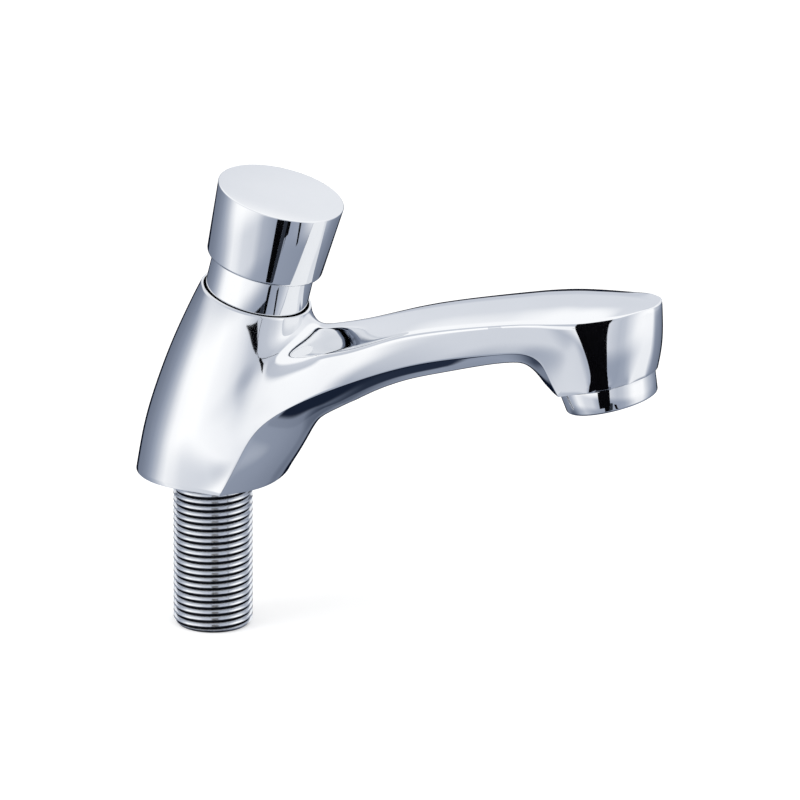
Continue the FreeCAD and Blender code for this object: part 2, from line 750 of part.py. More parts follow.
def build_plunger():
    """Everything that travels with the button, from its cap down to the valve."""
    slope = "(button_top_radius - button_foot_radius) / button_height"
    wall_at_round = "button_foot_radius + button_foot_round * " + slope
    turned("push_button", [
        ("button_bore_radius", BUTTON_FOOT),
        ("button_foot_radius - button_foot_round", BUTTON_FOOT),
        ("button_foot_radius - button_foot_round * " + ROUNDING,
         BUTTON_FOOT + " + button_foot_round * " + ROUNDING, "arc"),
        (wall_at_round, BUTTON_FOOT + " + button_foot_round"),
        ("button_top_radius", BUTTON_TOP + " - button_top_round"),
        ("button_top_radius - button_top_round * " + ROUNDING,
         BUTTON_TOP + " - button_top_round * " + ROUNDING, "arc"),
        ("button_top_radius - button_top_round", BUTTON_TOP),
        ("0", BUTTON_TOP),
        ("0", BUTTON_CEILING),
        ("button_bore_radius", BUTTON_CEILING),
    ], tilted=True)
    turned("button_insert", ring_outline(
        "spindle_waist_radius", "button_insert_radius", INSERT_FOOT, BUTTON_CEILING), tilted=True)

    clip_level = "(%s - clip_thickness)" % PISTON_FOOT
    clip_groove = "spindle_waist_radius - clip_groove_depth"
    turned("spindle", [
        ("0", NUT_FOOT + " - spindle_overhang"),
        ("spindle_tip_radius", NUT_FOOT + " - spindle_overhang"),
        ("spindle_tip_radius", "seat_level"),
        ("spindle_waist_radius", "seat_level"),
        ("spindle_waist_radius", clip_level),
        (clip_groove, clip_level),
        (clip_groove, PISTON_FOOT),
        ("spindle_waist_radius", PISTON_FOOT),
        ("spindle_waist_radius", PISTON_TOP),
        ("spindle_radius", PISTON_TOP),
        ("spindle_radius", INSERT_FOOT),
        ("spindle_waist_radius", INSERT_FOOT),
        ("spindle_waist_radius", BUTTON_CEILING),
        ("0", BUTTON_CEILING),
    ], tilted=True)

    piston_radius = "housing_bore_radius - slide_clearance"
    turned("timing_piston", [
        ("spindle_waist_radius", PISTON_FOOT),
        ("piston_body_radius", PISTON_FOOT),
        ("piston_body_radius", PISTON_TOP + " - piston_flange"),
        (piston_radius, PISTON_TOP + " - piston_flange"),
        (piston_radius, PISTON_TOP),
        ("spindle_waist_radius", PISTON_TOP),
    ], tilted=True)
    lip_top = "(%s - piston_flange)" % PISTON_TOP
    turned("piston_cup_seal", [
        ("piston_body_radius", lip_top),
        ("piston_body_radius", lip_top + " - cup_lip_height"),
        (piston_radius, lip_top + " - cup_tip_height"),
        ("cup_heel_radius", lip_top + " - cup_heel_height"),
        (piston_radius, lip_top),
    ], tilted=True)
    clip = new_body("piston_clip", tilted=True)
    clip_sketch = outline(new_sketch(clip, "outline"), ring_outline(
        clip_groove, "clip_radius", clip_level, PISTON_FOOT))
    revolve(clip, clip_sketch, angle="360 - clip_gap_angle")

    turned("washer_holder", [
        ("spindle_tip_radius", HOLDER_FOOT),
        ("holder_radius", HOLDER_FOOT),
        ("holder_radius", WASHER_FOOT + " + holder_rim"),
        ("washer_radius", WASHER_FOOT + " + holder_rim"),
        ("washer_radius", WASHER_FOOT),
        ("spindle_tip_radius", WASHER_FOOT),
    ], tilted=True)
    turned("valve_washer", ring_outline(
        "spindle_tip_radius", "washer_radius", WASHER_FOOT, "seat_level"), tilted=True)
    build_nut()


def build_nut():
    """Hexagon nut that holds the valve washer in its cup."""
    nut = new_body("washer_nut", tilted=True)
    sketch = new_sketch(nut, "hexagon", "XY_Plane", ("0", "0", NUT_FOOT))
    corners = []
    for angle in range(0, 360, 60):
        corners.append(("nut_radius * cos(%d deg)" % angle, "nut_radius * sin(%d deg)" % angle))
    outline(sketch, corners)
    circle(sketch, "0", "0", "spindle_tip_radius")
    pad = nut.newObject("PartDesign::Pad", "washer_nut_pad")
    pad.Profile = sketch
    pad.setExpression("Length", bound("nut_height"))
    doc.recompute()


def build_spring():
    """Round-wire compression spring round the gland's boss."""
    spring = new_body("return_spring", tilted=True)
    foot = GLAND_TOP + " + spring_wire_radius + slide_clearance"
    sketch = circle(new_sketch(spring, "wire"), "spring_radius", foot, "spring_wire_radius")
    helix = spring.newObject("PartDesign::AdditiveHelix", "return_spring_coils")
    helix.Profile = sketch
    helix.ReferenceAxis = (sketch, ["V_Axis"])
    helix.Mode = 2
    helix.setExpression("Height", bound(
        "%s - %s - 2 * (spring_wire_radius + slide_clearance)" % (INSERT_FOOT, GLAND_TOP)))
    helix.setExpression("Turns", bound("spring_turns"))
    doc.recompute()


def build_aerator():
    """Screwed aerator ring with its gasket, diffuser, screens and straightener."""
    foot_slope = "(aerator_ring_radius - aerator_foot_radius) / aerator_ring_height"
    ledge_radius = "aerator_bore_radius + running_clearance"
    turned("aerator_housing", [
        ("aerator_mouth_radius", RING_FOOT),
        ("aerator_foot_radius - aerator_foot_round", RING_FOOT),
        ("aerator_foot_radius - aerator_foot_round * " + ROUNDING,
         RING_FOOT + " + aerator_foot_round * " + ROUNDING, "arc"),
        ("aerator_foot_radius + aerator_foot_round * " + foot_slope,
         RING_FOOT + " + aerator_foot_round"),
        ("aerator_ring_radius", "0"),
        ("aerator_thread_radius", "0"),
        ("aerator_thread_radius", "aerator_spigot"),
        (ledge_radius, "aerator_spigot"),
        (ledge_radius, STRAIGHTENER_FOOT),
        ("aerator_mouth_radius", STRAIGHTENER_FOOT),
    ], at_outlet=True)
    turned("aerator_gasket", ring_outline(
        "aerator_gasket_inner", "aerator_thread_radius", "aerator_spigot", OUTLET_LEDGE), at_outlet=True)

    perforated("flow_straightener", STRAIGHTENER_FOOT, STRAIGHTENER_TOP, "straightener_hole_radius")
    lower_screen = "(%s + screen_spacing)" % STRAIGHTENER_TOP
    upper_screen = "(%s + 2 * screen_spacing)" % STRAIGHTENER_TOP
    for name, level in (("lower_screen", lower_screen), ("upper_screen", upper_screen)):
        perforated(name, level, level + " + screen_thickness", "screen_hole_radius")

    diffuser = turned("diffuser_disc", disc_outline(
        "aerator_bore_radius", DIFFUSER_FOOT, "aerator_spigot"), at_outlet=True)
    drill_ring(diffuser, "outer", "diffuser_hole_radius", "diffuser_ring_radius", DIFFUSER_HOLES)


def perforated(name, foot, top, hole_radius):
    """A round plate with rings of holes, fitting the aerator's bore."""
    plate = turned(name, disc_outline("aerator_bore_radius", foot, top), at_outlet=True)
    for ring, count in zip(("inner", "middle", "outer"), PLATE_HOLES):
        drill_ring(plate, ring, hole_radius, ring + "_hole_ring", count)
    return plate


build_tap_body()
build_tail()
build_cartridge()
build_plunger()
build_spring()
build_aerator()
doc.recompute()

for thing in doc.Objects:
    if "Invalid" in thing.State or "Error" in thing.State:
        raise RuntimeError("%s did not recompute: %s" % (thing.Label, thing.State))
for node in NODES:
    if node.Shape.isNull() or not node.Shape.isValid() or not node.Shape.Solids:
        raise RuntimeError("%s has no sound solid" % node.Label)

os.makedirs("parts", exist_ok=True)
for node in NODES:
    node.Shape.exportStep(os.path.join("parts", node.Label + ".step"))
    print("%-20s %9.1f mm3  %d solid(s)" % (node.Label, node.Shape.Volume, len(node.Shape.Solids)))
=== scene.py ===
import math

import bmesh
import bpy
from bpy.props import FloatProperty, FloatVectorProperty, IntProperty, PointerProperty
from bpy.types import Operator, Panel, PropertyGroup
from mathutils import Matrix, Vector


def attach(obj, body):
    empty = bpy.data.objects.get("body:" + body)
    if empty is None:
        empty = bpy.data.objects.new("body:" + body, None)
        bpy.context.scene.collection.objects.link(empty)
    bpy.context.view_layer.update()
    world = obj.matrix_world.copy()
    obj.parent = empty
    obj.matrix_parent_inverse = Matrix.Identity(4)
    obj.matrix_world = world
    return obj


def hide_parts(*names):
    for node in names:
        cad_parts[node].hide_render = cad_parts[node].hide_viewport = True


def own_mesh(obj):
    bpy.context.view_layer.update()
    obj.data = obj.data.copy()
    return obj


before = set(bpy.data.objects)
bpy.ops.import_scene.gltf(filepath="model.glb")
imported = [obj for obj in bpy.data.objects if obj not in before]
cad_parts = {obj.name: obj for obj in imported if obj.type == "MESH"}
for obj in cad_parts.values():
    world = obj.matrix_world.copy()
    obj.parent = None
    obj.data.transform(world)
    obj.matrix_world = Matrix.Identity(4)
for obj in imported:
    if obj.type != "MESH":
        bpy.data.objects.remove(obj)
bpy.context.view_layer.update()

bl_info = {
    "name": "Basin Tap",
    "version": (1, 0, 0),
    "blender": (4, 5, 0),
    "location": "View3D > Sidebar > Basin Tap",
    "description": "Dressed self-closing basin tap on its packed frame",
    "category": "Object",
}

MM = 0.001

# The leaning axis of the cartridge, its front direction, and the outlet's axis
TILT = math.radians(13.7)
LEAN = Vector((math.sin(TILT), 0, math.cos(TILT)))
FRONT = Vector((math.cos(TILT), 0, -math.sin(TILT)))
SIDE = Vector((0, 1, 0))
OUTLET_TILT = math.radians(14.6)
OUTLET = Vector((109.6, 0, 37.4))

# The casting's cage has sixteen columns; column 0 is in front, 8 at the back, and the
# negative ones mirror these. Columns 2 and -2 carry the sharp side edge of the chin.
COLUMNS = 16
COLUMN_STEP = 360 / COLUMNS
HALF = COLUMNS // 2
CORNER = 2

# Angles at which the outer columns leave the base, in degrees from the front
BASE_ANGLES = {3: 81.8, 4: 99.5, 5: 120, 6: 140, 7: 160, 8: 180}

# Rings of the pillar as shares of the way from base to rim
PILLAR_SHARES = (0.0, 0.2, 0.38, 0.57, 0.74, 0.9, 1.0)
KEEL_RING, SIDE_RING, TOP_RING = 2, 3, 4
RIM_RING = len(PILLAR_SHARES) - 1
BORE_STATION = 50

# Chin and spout root in front of the barrel: ring, then columns 0, 1, 2 and 3
CHIN = {
    0: ((19.7, 0, 0), (17.1, 12.3, 0), (9.2, 21.2, 0), (3.0, 20.7, 0)),
    1: ((25.2, 0, 9.0), (22.2, 11.9, 9.0), (13.6, 19.9, 9.0), (8.0, 20.65, 9.6)),
    2: ((29.6, 0, 16.7), (26.8, 10.0, 17.4), (18.95, 17.9, 18.7), (10.9, 19.25, 18.0)),
    3: ((27.0, 0, 27.5), (26.0, 9.0, 27.5), (18.0, 16.1, 27.6)),
    4: ((29.6, 0, 43.4), (27.4, 7.0, 41.0), (21.6, 13.3, 36.6)),
    5: ((27.3, 0, 45.3), (25.7, 5.9, 44.6)),
}

# Stations along the spout: crown (x, z), shoulder (y, z), upper edge (x, y, z), side, sharp
# edge, keel (x, z)
SPOUT = (
    ((34.0, 43.9), (7.0, 41.5), (31.0, 13.0, 38.5),
     (31.0, 14.7, 33.0), (29.5, 15.8, 26.4), (35.8, 20.9)),
    ((43.0, 46.1), (6.8, 44.3), (42.0, 13.0, 41.5),
     (42.0, 13.8, 36.6), (41.0, 14.0, 32.0), (45.0, 26.5)),
    ((54.0, 49.5), (6.6, 48.5), (54.0, 13.1, 46.3),
     (54.0, 13.5, 41.2), (53.5, 13.25, 37.2), (55.5, 31.4)),
    ((66.0, 52.6), (6.6, 51.9), (66.0, 13.3, 49.8),
     (66.0, 13.5, 45.2), (65.5, 13.1, 41.1), (66.5, 34.85)),
    ((77.0, 55.0), (6.9, 54.3), (77.0, 13.8, 52.3),
     (77.0, 13.8, 47.9), (76.5, 13.2, 43.7), (77.0, 37.8)),
    ((85.0, 56.6), (7.1, 55.9), (85.0, 14.3, 53.9),
     (86.0, 14.2, 49.8), (84.5, 13.5, 45.4), (84.5, 39.2)),
    ((90.0, 57.5), (7.3, 56.8), (90.0, 14.6, 54.8),
     (92.0, 14.5, 50.3), (91.0, 13.8, 46.3), (88.1, 38.9)),
    ((95.0, 58.2), (7.4, 57.5), (95.0, 14.9, 55.5),
     (97.5, 14.7, 49.9), (95.5, 13.5, 44.5), (90.7, 36.9)),
    ((99.5, 58.7), (7.4, 58.0), (99.5, 14.9, 56.0),
     (102.0, 14.7, 49.4), (97.9, 12.8, 40.0), (92.8, 34.6)),
    ((104.0, 59.0), (7.2, 58.35), (104.0, 14.5, 56.45),
     (105.2, 14.6, 48.9), (100.4, 12.4, 35.05), (94.5, 33.45)),
)
# The flank of the underside lies this far up its slope from the keel, station by station, and
# this far out of the half width
FLANK_RISE = (0.3, 0.3, 0.3, 0.3, 0.34, 0.42, 0.42, 0.42, 0.42, 0.42)
FLANK_OUT = 0.55

# Head of the spout: its nose, where the upper edge is a long half ellipse and the foot a circle
NOSE_X = 97.0
NOSE_LENGTH = 27.4
NOSE_HALF_WIDTH = 15.0
HEAD_FOOT_X = 108.9
HEAD_FOOT_RADIUS = 14.2
HEAD_SIDE_Z = 49.0
HEAD_BULGE = 0.65
HEAD_FOOT_LIFT = 0.5

# Round the nose, by angle of the foot from the front: angle on the ellipse, height of the edge
NOSE_EDGES = {90: (66.0, 56.9), 66: (50.0, 57.9), 44: (36.0, 58.9), 22: (19.0, 59.4),
              11: (9.5, 59.5), 0: (0.0, 59.55)}
HEAD_ANGLES = (90, 66, 44)
NOSE_ANGLE_STEP = 11

# Inner places of the head's stations: crown (x, z), shoulder (x, y, z), underside x, x and y
HEAD_INNER = (
    ((109.0, 59.3), (108.6, 6.9, 58.7), 104.5, (104.7, 7.2)),
    ((114.6, 59.5), (114.6, 5.8, 59.05), 112.0, (112.0, 7.0)),
    ((119.6, 59.6), (119.4, 4.4, 59.3), 117.6, (117.3, 5.3)),
)

# Inside of the casting from the rim down: radius and level on the leaning axis
BORE = ((14.3, 51.4), (14.3, 47.0), (13.55, 47.0), (13.55, 36.6), (12.8, 36.6), (12.8, 26.0),
        (12.05, 26.0), (12.05, 21.0), (8.0, 21.0), (8.0, 14.5))
# Then about the upright axis: room for the pressed valve, the seat and socket of the tail, and
# the recess of the deck seal
INLET = ((10.3, 12.0), (10.3, 9.2), (8.0, 8.9), (8.0, 8.0), (10.35, 8.0), (10.35, 0.0),
         (13.4, 0.0), (13.4, 2.0), (17.0, 2.0), (17.0, 0.0))
# Socket of the aerator: radius and depth in the underside of the head
OUTLET_SOCKET = ((13.35, 0), (11.95, 0), (11.95, 9.5))

# How the barrel narrows from belly to rim, and how far it draws in from belly to base
BARREL_CURVE = 1.8
BASE_DRAW_IN = 0.3

# Creases of the crown's edge at the root and what the head adds, and round the nose
CROWN_CREASE = 0.45
HEAD_CREASE_GAIN = 0.1
NOSE_CREASE = 0.55

# Rounds that fit the cage to its places, and that smooth the skin of head and chin
SETTLE_ROUNDS = 5
SMOOTH_ROUNDS = 20
HEAD_SIDE_FROM_X = 70.0
CHIN_TO_X = 40.0
CHIN_TO_Z = 24.0

# Bends: the most within the skin, the least that gets a bevel, the least that shades sharp
SKIN_BEND = math.radians(9)
BEVEL_BEND = math.radians(24)
SHADE_BEND = math.radians(35)


class TapSizes(PropertyGroup):
    """Sizes that shape the tap's shells."""
    rim_level: FloatProperty(
        name="Rim level", description="Height of the pillar's rim along its leaning axis",
        default=51.4 * MM, unit="LENGTH")
    rim_radius: FloatProperty(
        name="Rim radius", description="Outer radius of the pillar at its rim",
        default=14.9 * MM, unit="LENGTH")
    belly_level: FloatProperty(
        name="Belly level", description="Level at which the pillar is widest",
        default=9.0 * MM, unit="LENGTH")
    belly_radius: FloatProperty(
        name="Belly radius", description="Radius of the pillar at its widest",
        default=20.4 * MM, unit="LENGTH")
    edge_width: FloatProperty(
        name="Edge width", description="Width of the narrow bevel on every sharp edge",
        default=0.35 * MM, unit="LENGTH")
    neck_radius: FloatProperty(
        name="Neck radius", description="Radius of the polished neck under the button",
        default=13.75 * MM, unit="LENGTH")
    neck_top: FloatProperty(
        name="Neck top", description="Level of the neck's upper end, inside the button",
        default=68.0 * MM, unit="LENGTH")
    button_foot: FloatProperty(
        name="Button foot", description="Level of the button's lower edge at rest",
        default=60.7 * MM, unit="LENGTH")
    button_top: FloatProperty(
        name="Button top", description="Level of the button's flat top at rest",
        default=80.9 * MM, unit="LENGTH")
    button_foot_radius: FloatProperty(
        name="Button foot radius", description="Radius of the button at its lower edge",
        default=15.5 * MM, unit="LENGTH")
    button_top_radius: FloatProperty(
        name="Button top radius", description="Radius of the button at its flat top",
        default=17.0 * MM, unit="LENGTH")
    ring_radius: FloatProperty(
        name="Aerator radius", description="Radius of the aerator's ring under the head",
        default=13.1 * MM, unit="LENGTH")
    ring_foot_radius: FloatProperty(
        name="Aerator foot radius", description="Radius of the aerator's ring at its mouth",
        default=12.3 * MM, unit="LENGTH")
    ring_height: FloatProperty(
        name="Aerator height", description="Visible height of the aerator's ring",
        default=6.4 * MM, unit="LENGTH")
    smoothness: IntProperty(
        name="Smoothness", description="Subdivision level of the casting", default=3, min=1, max=3)


class TapColours(PropertyGroup):
    """Colours of the tap's finishes."""
    chrome: FloatVectorProperty(
        name="Chrome", description="Bright plating on every outer piece",
        default=(0.86, 0.87, 0.885), subtype="COLOR", min=0, max=1)
    # The groove colour is painted shade: it blackens the bottom of the thread, where shade falls.
    groove_shade: FloatVectorProperty(
        name="Thread groove", description="Plating in the bottom of the thread",
        default=(0.02, 0.022, 0.03), subtype="COLOR", min=0, max=1)
    # The bore colour is painted shade: near black, so that the inside of the casting and the gap
    # under the rim read as shadow.
    bore: FloatVectorProperty(
        name="Bore", description="Dark unpolished walls inside the casting",
        default=(0.05, 0.055, 0.07), subtype="COLOR", min=0, max=1)
    brass: FloatVectorProperty(
        name="Brass", description="Bare machined brass inside",
        default=(0.78, 0.60, 0.28), subtype="COLOR", min=0, max=1)
    steel: FloatVectorProperty(
        name="Steel", description="Stainless steel of spring, clip and screens",
        default=(0.62, 0.63, 0.65), subtype="COLOR", min=0, max=1)
    rubber: FloatVectorProperty(
        name="Rubber", description="Black rubber of the seals",
        default=(0.025, 0.025, 0.028), subtype="COLOR", min=0, max=1)
    deck_rubber: FloatVectorProperty(
        name="Deck rubber", description="Grey rubber of the seal under the base",
        default=(0.10, 0.10, 0.105), subtype="COLOR", min=0, max=1)
    cartridge: FloatVectorProperty(
        name="Cartridge plastic", description="Moulded plastic of the cartridge",
        default=(0.72, 0.73, 0.70), subtype="COLOR", min=0, max=1)
    outlet: FloatVectorProperty(
        name="Outlet plastic", description="Moulded plastic of the flow straightener",
        default=(0.55, 0.57, 0.60), subtype="COLOR", min=0, max=1)


# Modelling helpers

def deselect_everything():
    """Leave edit mode and select nothing."""
    if bpy.context.mode != "OBJECT":
        bpy.ops.object.mode_set(mode="OBJECT")
    bpy.ops.object.select_all(action="DESELECT")


def start_circle(name, sides, radius, height):
    """A bare circle in edit mode, from which a shell is extruded."""
    deselect_everything()
    bpy.ops.mesh.primitive_circle_add(vertices=sides, radius=radius, location=(0, 0, 0))
    piece = bpy.context.object
    piece.name = piece.data.name = name
    bpy.ops.object.mode_set(mode="EDIT")
    bpy.ops.mesh.select_mode(type="VERT")
    bpy.ops.mesh.select_all(action="SELECT")
    bpy.ops.transform.translate(value=(0, 0, height))
    return piece


def edit_mesh():
    """The mesh that is being edited."""
    return bmesh.from_edit_mesh(bpy.context.object.data)


def refresh():
    """Hand changes made in code back to the mesh that is being edited."""
    bmesh.update_edit_mesh(bpy.context.object.data)


def select_edges(wanted):
    """Select only the edges for which the test holds."""
    bpy.ops.mesh.select_mode(type="EDGE")
    bpy.ops.mesh.select_all(action="DESELECT")
    for edge in edit_mesh().edges:
        edge.select_set(wanted(edge))
    refresh()


def select_faces(wanted):
    """Select only the faces for which the test holds."""
    bpy.ops.mesh.select_mode(type="FACE")
    bpy.ops.mesh.select_all(action="DESELECT")
    for face in edit_mesh().faces:
        face.select_set(wanted(face))
    refresh()


def on_circle(edge, radius, height):
    """True for an edge of the circle of that radius and height about Z."""
    near = 0.02 * MM
    return all(abs(corner.co.xy.length - radius) < near and abs(corner.co.z - height) < near
               for corner in edge.verts)


def turned_shell(name, outline, sides=128, hollow=True):
    """A turned piece about Z, extruded from a circle along the half outline."""
    piece = start_circle(name, sides, *outline[0])
    for (radius, height), (next_radius, next_height) in zip(outline, outline[1:]):
        bpy.ops.mesh.extrude_region_move()
        if next_radius != radius:
            share = next_radius / radius
            bpy.ops.transform.resize(value=(share, share, 1), center_override=(0, 0, 0))
        bpy.ops.transform.translate(value=(0, 0, next_height - height))
    select_edges(lambda edge: edge.is_boundary)
    if hollow:
        bpy.ops.mesh.bridge_edge_loops()
    else:
        bpy.ops.mesh.select_all(action="SELECT")
        bpy.ops.mesh.fill_holes(sides=0)
        select_faces(lambda face: len(face.verts) > 4)
        bpy.ops.mesh.poke()
    bpy.ops.mesh.select_all(action="SELECT")
    bpy.ops.mesh.normals_make_consistent(inside=False)
    return piece


def round_circle(radius, height, width, segments=4):
    """Round the edge loop of that radius and height."""
    select_edges(lambda edge: on_circle(edge, radius, height))
    bpy.ops.mesh.bevel(offset=width, offset_type="OFFSET", segments=segments, affect="EDGES")


def apply_modifier(piece, kind, **settings):
    """Add one modifier with its settings and apply it."""
    modifier = piece.modifiers.new(kind.lower(), kind)
    for name, value in settings.items():
        setattr(modifier, name, value)
    bpy.ops.object.modifier_apply(modifier=modifier.name)


def set_down(piece, tilt, place):
    """Lean a piece modelled about Z and put it in place, with its place in its mesh."""
    bpy.ops.object.mode_set(mode="OBJECT")
    piece.rotation_euler = (0, tilt, 0)
    piece.location = place
    bpy.ops.object.transform_apply(location=True, rotation=True, scale=True)


def finish_piece(piece, body, slot, node, *materials):
    """Smooth a piece, give it its finish, and let it ride in place of its CAD node."""
    deselect_everything()
    piece.select_set(True)
    bpy.context.view_layer.objects.active = piece
    bpy.ops.object.shade_smooth_by_angle(angle=SHADE_BEND)
    numbers = [min(face.material_index, len(materials) - 1) for face in piece.data.polygons]
    piece.data.materials.clear()
    for material in materials:
        piece.data.materials.append(material)
    piece.data.polygons.foreach_set("material_index", numbers)
    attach(piece, body)
    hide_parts(node)


# Cage of the casting

def mirrored(column, place):
    """A place in millimetres, mirrored for the columns on the far side, in metres."""
    x, y, z = place
    return Vector((x, -y if column < 0 else y, z)) * MM


def barrel_place(sizes, level, angle):
    """A place on the pillar's barrel, in millimetres."""
    belly, rim = sizes.belly_level / MM, sizes.rim_level / MM
    radius = sizes.belly_radius / MM
    if level > belly:
        taper = (sizes.belly_radius - sizes.rim_radius) / MM
        radius -= taper * ((level - belly) / (rim - belly)) ** BARREL_CURVE
    else:
        radius -= BASE_DRAW_IN * ((belly - level) / belly) ** 2
    return level * LEAN + radius * (math.cos(angle) * FRONT + math.sin(angle) * SIDE)


def pillar_place(sizes, ring, column):
    """Where a column crosses a ring of the pillar, in millimetres."""
    share = PILLAR_SHARES[ring]
    if ring in CHIN and column < len(CHIN[ring]):
        return CHIN[ring][column]
    even_angle = COLUMN_STEP * column
    at_base = BASE_ANGLES.get(column, even_angle)
    angle = math.radians(even_angle + (1 - share) * (at_base - even_angle))
    foot = sizes.belly_radius / MM * math.tan(TILT) * math.cos(angle)
    return barrel_place(sizes, foot + share * (sizes.rim_level / MM - foot), angle)


def underside_z(x):
    """Height of the flat underside of the head."""
    return OUTLET.z + (x - OUTLET.x) * math.tan(OUTLET_TILT)


def nose_place(row, angle):
    """A place on the head: on its upper edge, halfway down its side or on its foot."""
    share, height = NOSE_EDGES[angle]
    edge = Vector((NOSE_X + NOSE_LENGTH * math.cos(math.radians(share)),
                   NOSE_HALF_WIDTH * math.sin(math.radians(share)), height))
    outward = Vector((math.cos(math.radians(angle)), math.sin(math.radians(angle)), 0))
    foot = Vector((HEAD_FOOT_X, 0, 0)) + HEAD_FOOT_RADIUS * outward
    foot.z = underside_z(foot.x) + HEAD_FOOT_LIFT * outward.y ** 4
    if row == 0:
        return tuple(edge)
    if row == 2:
        return tuple(foot)
    side = (edge + foot) / 2 + HEAD_BULGE * outward
    return (side.x, side.y, HEAD_SIDE_Z)


def spout_places(station):
    """Places of one station of the spout by (row ring, column), in millimetres."""
    if station < len(SPOUT):
        crown, shoulder, edge, side, corner, keel = SPOUT[station]
        rise = FLANK_RISE[station]
        places = {
            (TOP_RING, 0): (crown[0], 0, crown[1]),
            (TOP_RING, 1): (crown[0], *shoulder),
            (TOP_RING, 2): edge,
            (SIDE_RING, 2): side,
            (KEEL_RING, 2): corner,
            (KEEL_RING, 1): (keel[0] + rise * (corner[0] - keel[0]), FLANK_OUT * corner[1],
                             keel[1] + rise * (corner[2] - keel[1])),
            (KEEL_RING, 0): (keel[0], 0, keel[1]),
        }
    else:
        places = head_places(station - len(SPOUT))
    for column in (0, 1):
        if (SIDE_RING, column) not in places:
            top, keel = places[(TOP_RING, column)], places[(KEEL_RING, column)]
            places[(SIDE_RING, column)] = tuple((a + b) / 2 for a, b in zip(top, keel))
    return places


def head_places(step):
    """Places of the stations round the head, the last of which closes the nose."""
    if step == len(HEAD_ANGLES):
        return {(ring, column): nose_place(row, NOSE_ANGLE_STEP * column)
                for row, ring in enumerate((TOP_RING, SIDE_RING, KEEL_RING))
                for column in (0, 1, 2)}
    (crown_x, crown_z), shoulder, keel_x, (flank_x, flank_y) = HEAD_INNER[step]
    angle = HEAD_ANGLES[step]
    return {
        (TOP_RING, 0): (crown_x, 0, crown_z),
        (TOP_RING, 1): shoulder,
        (TOP_RING, 2): nose_place(0, angle),
        (SIDE_RING, 2): nose_place(1, angle),
        (KEEL_RING, 2): nose_place(2, angle),
        (KEEL_RING, 1): (flank_x, flank_y, underside_z(flank_x)),
        (KEEL_RING, 0): (keel_x, 0, underside_z(keel_x)),
    }


def cage_layers(cage):
    """The layers in which each vertex keeps its ring, column and station."""
    return [cage.verts.layers.int.get(name) or cage.verts.layers.int.new(name)
            for name in ("ring", "column", "station")]


def place_loop(place_of, station, ring_number=None):
    """Number the selected vertices and put them at their places, by ring and column."""
    cage = edit_mesh()
    ring, column, at = cage_layers(cage)
    for vertex in cage.verts:
        if vertex.select:
            if ring_number is not None:
                vertex[ring] = ring_number
            vertex[at] = station
            vertex.co = mirrored(vertex[column], place_of(vertex[ring], abs(vertex[column])))
    refresh()


def number_columns():
    """Number the first circle's vertices by their angle from the front."""
    cage = edit_mesh()
    column = cage_layers(cage)[1]
    for vertex in cage.verts:
        turn = math.degrees(math.atan2(vertex.co.y, vertex.co.x))
        vertex[column] = round(turn / COLUMN_STEP)
        if vertex[column] == -HALF:
            vertex[column] = HALF
    refresh()


def circle_place(radius, height, column, leaning):
    """A place on a circle about the leaning or the upright axis, in millimetres."""
    turn = math.radians(COLUMN_STEP * column)
    if leaning:
        return height * LEAN + radius * (math.cos(turn) * FRONT + math.sin(turn) * SIDE)
    return Vector((radius * math.cos(turn), radius * math.sin(turn), height))


def extrude_pillar(sizes):
    """Extrude the circle up the pillar, over the rim and down the bore to the base."""
    number_columns()
    place_loop(lambda ring, column: pillar_place(sizes, 0, column), 0, 0)
    for number in range(1, len(PILLAR_SHARES)):
        bpy.ops.mesh.extrude_region_move()
        place_loop(lambda ring, column: pillar_place(sizes, number, column), 0, number)
    stand = BORE_STATION
    for leaning, steps in ((True, BORE), (False, INLET)):
        for radius, height in steps:
            bpy.ops.mesh.extrude_region_move()
            place_loop(lambda ring, column: circle_place(radius, height, column, leaning),
                       stand, stand)
            stand += 1
    select_edges(lambda edge: edge.is_boundary)
    bpy.ops.mesh.bridge_edge_loops()


def extrude_spout():
    """Extrude the front of the pillar station by station to the nose of the head."""
    ring, column = cage_layers(edit_mesh())[:2]
    select_faces(lambda face: all(
        KEEL_RING <= corner[ring] <= TOP_RING and abs(corner[column]) <= CORNER
        for corner in face.verts))
    for station in range(len(SPOUT) + len(HEAD_ANGLES) + 1):
        bpy.ops.mesh.extrude_region_move()
        places = spout_places(station)
        place_loop(lambda ring, column: places[(ring, column)], station + 1)


def sink_outlet():
    """Let the socket of the aerator into the flat underside of the head."""
    ring, _, at = cage_layers(edit_mesh())
    select_faces(lambda face: all(
        corner[ring] == KEEL_RING and corner[at] >= len(SPOUT) for corner in face.verts))
    socket = Matrix.Translation(OUTLET * MM) @ Matrix.Rotation(-OUTLET_TILT, 4, "Y")
    for radius, depth in OUTLET_SOCKET:
        bpy.ops.mesh.extrude_region_move()
        cage = edit_mesh()
        at = cage_layers(cage)[2]
        chosen = [vertex for vertex in cage.verts if vertex.select]
        local = {vertex: socket.inverted() @ vertex.co for vertex in chosen}
        middle = max(spot.xy.length for spot in local.values())
        for vertex in chosen:
            spot = local[vertex]
            on_edge = any(not face.select for face in vertex.link_faces)
            reach = radius * MM if on_edge else spot.xy.length / middle * radius * MM
            flat = spot.xy.normalized() * reach if spot.xy.length > 1e-6 else Vector((0, 0))
            vertex.co = socket @ Vector((flat.x, flat.y, depth * MM))
            vertex[at] = BORE_STATION
        refresh()


def paint_bore_shade():
    """Faces inside the casting take the second finish, whose near-black colour is painted shade in
    the bore and in the gap under the rim.
    """
    at = cage_layers(edit_mesh())[2]
    for face in edit_mesh().faces:
        if sum(corner[at] >= BORE_STATION for corner in face.verts) > 2:
            face.material_index = 1
    refresh()


